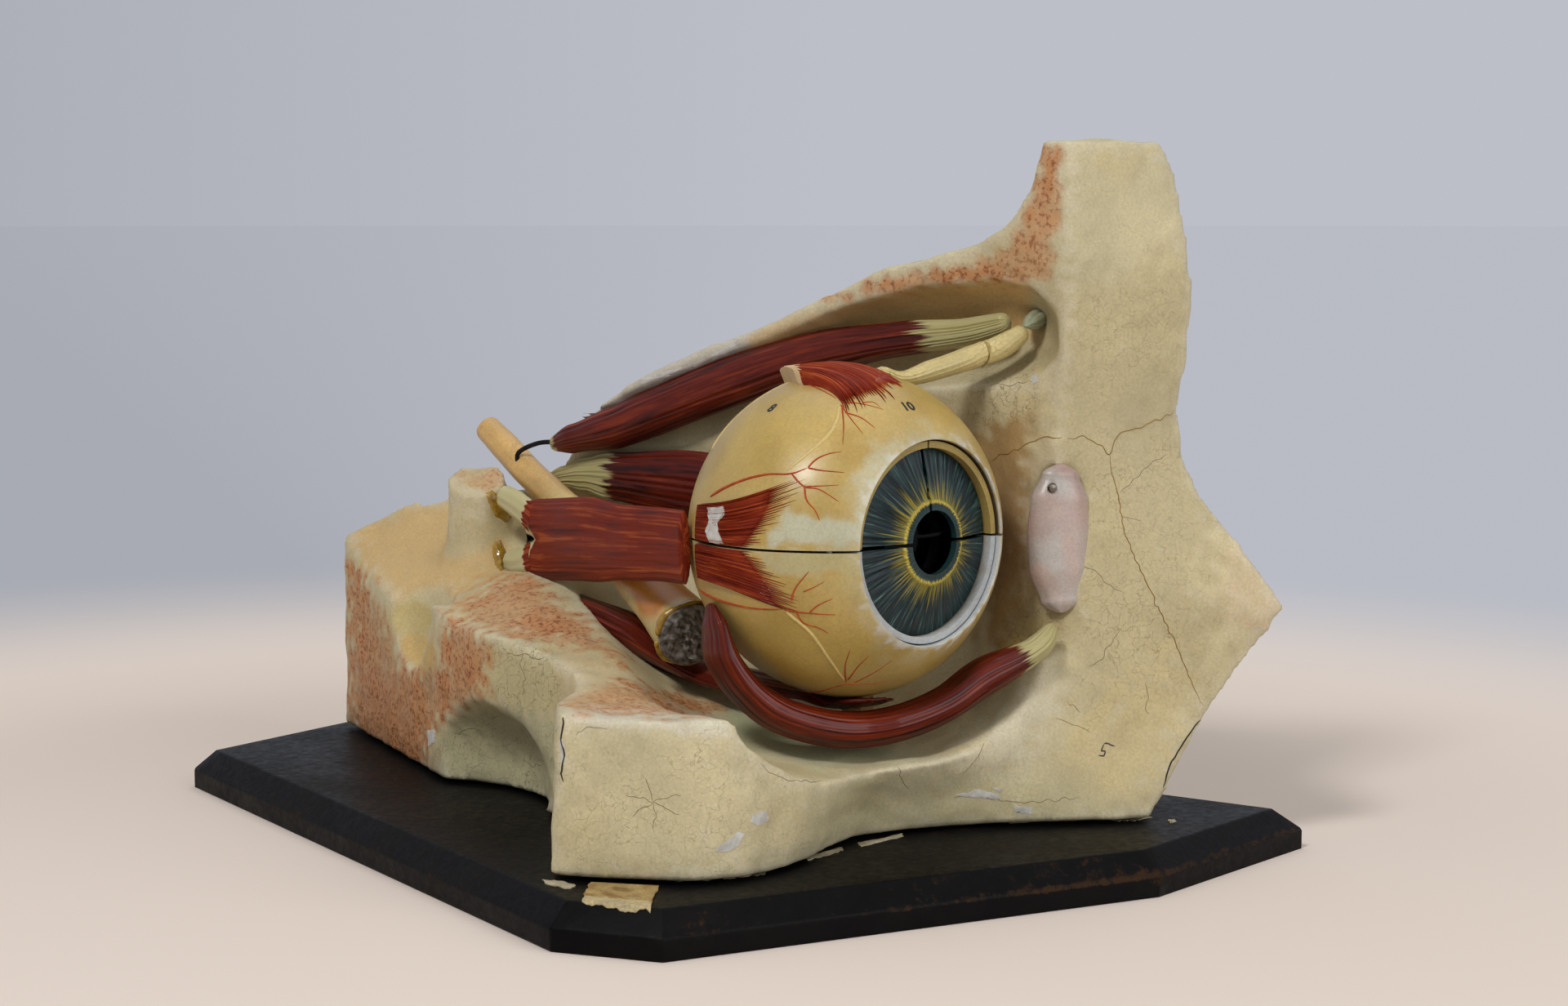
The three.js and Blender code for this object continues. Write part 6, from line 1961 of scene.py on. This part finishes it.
@dataclass
class Studio:
    """Pale floor, plain background and soft lamps."""

    rings: tuple[float, ...] = (0.0, 0.3, 0.6, 1.0, 2.0, 5.0, 30.0)
    spokes: int = 96
    floor: str = "#e6d7cb"
    wall: str = "#bcbfc8"
    shade: str = "#abaeb7"
    daylight: str = "#f1f3f6"
    lamps: tuple[tuple[str, tuple[float, float, float], float, float], ...] = (
        ("key", (-1.3, -0.2, 1.5), 0.36, 18.0), ("fill", (-0.1, -1.6, 0.7), 1.2, 10.0),
        ("top", (0.4, 0.2, 1.7), 1.4, 4.5))

    def build(self) -> None:
        """Make the floor, the world and the lamps."""
        angle = np.linspace(0, 2 * np.pi, self.spokes, endpoint=False)
        ring = np.array(self.rings)[:, None]
        places = np.stack([ring * np.cos(angle), ring * np.sin(angle), 0 * ring * angle], -1)
        faces = grid_faces(len(ring), self.spokes)[:, ::-1]
        mesh = bpy.data.meshes.new("floor")
        mesh.from_pydata(places.reshape(-1, 3).tolist(), [], faces.tolist())
        mesh.materials.append(self.ground())
        floor = link("floor", mesh)
        self.sky()
        for lamp in self.lamps:
            self.lamp(*lamp)

    def ground(self) -> bpy.types.Material:
        """Build the floor's material, which passes into the wall's colour far from the model."""
        material, g, shader = blank("studio_floor")
        place = g.place()
        reach = g.node("VectorMath", {0: place}, 1, operation="LENGTH")
        far, free = (g.ranged(reach, start, end, interpolation_type="SMOOTHSTEP")
                     for start, end in ((0.38, 0.92), (0.28, 0.6)))
        colour = g.mix(far, self.floor, self.backdrop(g, place))
        feed(g.tree, shader, {"Base Color": colour, "Roughness": 0.9})
        glow = g.node("Emission", {"Color": colour, "Strength": 0.96})
        share = g.maths("MULTIPLY", free, self.sight(g))
        mixed = g.node("MixShader", {0: share, 1: shader.outputs[0], 2: glow})
        feed(g.tree, next(n for n in g.tree.nodes if n.type == "OUTPUT_MATERIAL"), {"Surface": mixed})
        return material

    def backdrop(self, g: Graph, way: Socket) -> Socket:
        """Colour the wall by direction: shaded at the photograph's left, lighter to its middle.

        Args:
            g: Node tree of the floor or the world.
            way: Vector from the model to the place, or the direction of view.

        Returns:
            The colour.
        """
        ahead = g.node("VectorMath", {0: way}, operation="NORMALIZE")
        aside = g.node("VectorMath", {0: ahead, 1: tuple(CAMERA.axes()[0])}, 1, operation="DOT_PRODUCT")
        return g.mix(g.ranged(aside, -0.3, 0.02), self.shade, self.wall)

    def sight(self, g: Graph) -> Socket:
        """Tell the rays that show a surface (straight, mirrored or through glass) from the rest."""
        path = add_node(g.tree, "LightPath").outputs
        through_glass = g.maths("MAXIMUM", path["Is Camera Ray"], path["Is Transmission Ray"])
        return g.maths("MAXIMUM", through_glass, path["Is Glossy Ray"])

    def sky(self) -> None:
        """Light the world evenly, and show the wall's colour to the camera."""
        world = bpy.data.worlds.new("studio")
        bpy.context.scene.world = world
        world.use_nodes = True
        g = Graph(world.node_tree)
        g.tree.nodes.clear()
        light = g.node("Background", {"Color": linear(self.daylight), "Strength": 0.33})
        wall = self.backdrop(g, g.place("Generated"))
        view = g.node("Background", {"Color": wall, "Strength": 1.0})
        both = g.node("MixShader", {0: self.sight(g), 1: light, 2: view})
        add_node(g.tree, "OutputWorld", {"Surface": both})

    def lamp(self, name: str, place: tuple[float, float, float], size: float, power: float) -> None:
        """Hang a square softbox that faces the model.

        Args:
            name: Name of the lamp.
            place: Where it hangs, in metres.
            size: Side of the square in metres.
            power: Power in watts.
        """
        light = bpy.data.lights.new(name, "AREA")
        light.shape, light.size, light.energy = "SQUARE", size, power
        made = link(name, light)
        aim = Vector((0.0, -0.03, 0.12)) - Vector(place)
        turn = aim.to_track_quat("-Z", "Y").to_matrix().to_4x4()
        made.matrix_world = Matrix.Translation(place) @ turn


@dataclass
class Fittings:
    """Screws, pins, the nail and the peg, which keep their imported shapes."""

    screws: int = 4
    pins: int = 3

    def build(self) -> None:
        """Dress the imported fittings."""
        steel = PlainMatter("old_steel", "#6d665c", "#8b8478", 1.5, 0.4, 1.0)
        wood = PlainMatter("turned_beech_peg", "#a98352", "#8f6b3e", 3.0, 0.6)
        names = [f"board_screw_{i + 1}" for i in range(self.screws)]
        names += [f"seam_pin_{i + 1}" for i in range(self.pins)]
        for name in (*names, "lacrimal_sac_nail"):
            dress(frame["nodes"][name], steel)
        dress(frame["nodes"]["globe_peg"], wood)


def main() -> None:
    """Build every sub-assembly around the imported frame."""
    logging.basicConfig(level=logging.INFO, format="%(message)s")
    bpy.context.scene.view_settings.view_transform = "Standard"
    CAMERA.set_up()
    Studio().build()
    casting = SocketCasting().build()
    for muscle in muscles():
        muscle.build()
    LateralRectus().build()
    on_globe = {pad.name: pad.build() for pad in pads()}
    Tendons().build()
    OpticNerve().build()
    TearSac().build()
    eyeball = Eyeball()
    eyeball.sclera()
    eyeball.choroid()
    eyeball.iris()
    eyeball.insides()
    GlobePainting().build()
    Wear().build(casting, Board().build(), on_globe["lateral_pad_upper"])
    PaperLabel().build()
    Fittings().build()


if __name__ == "__main__":
    main()
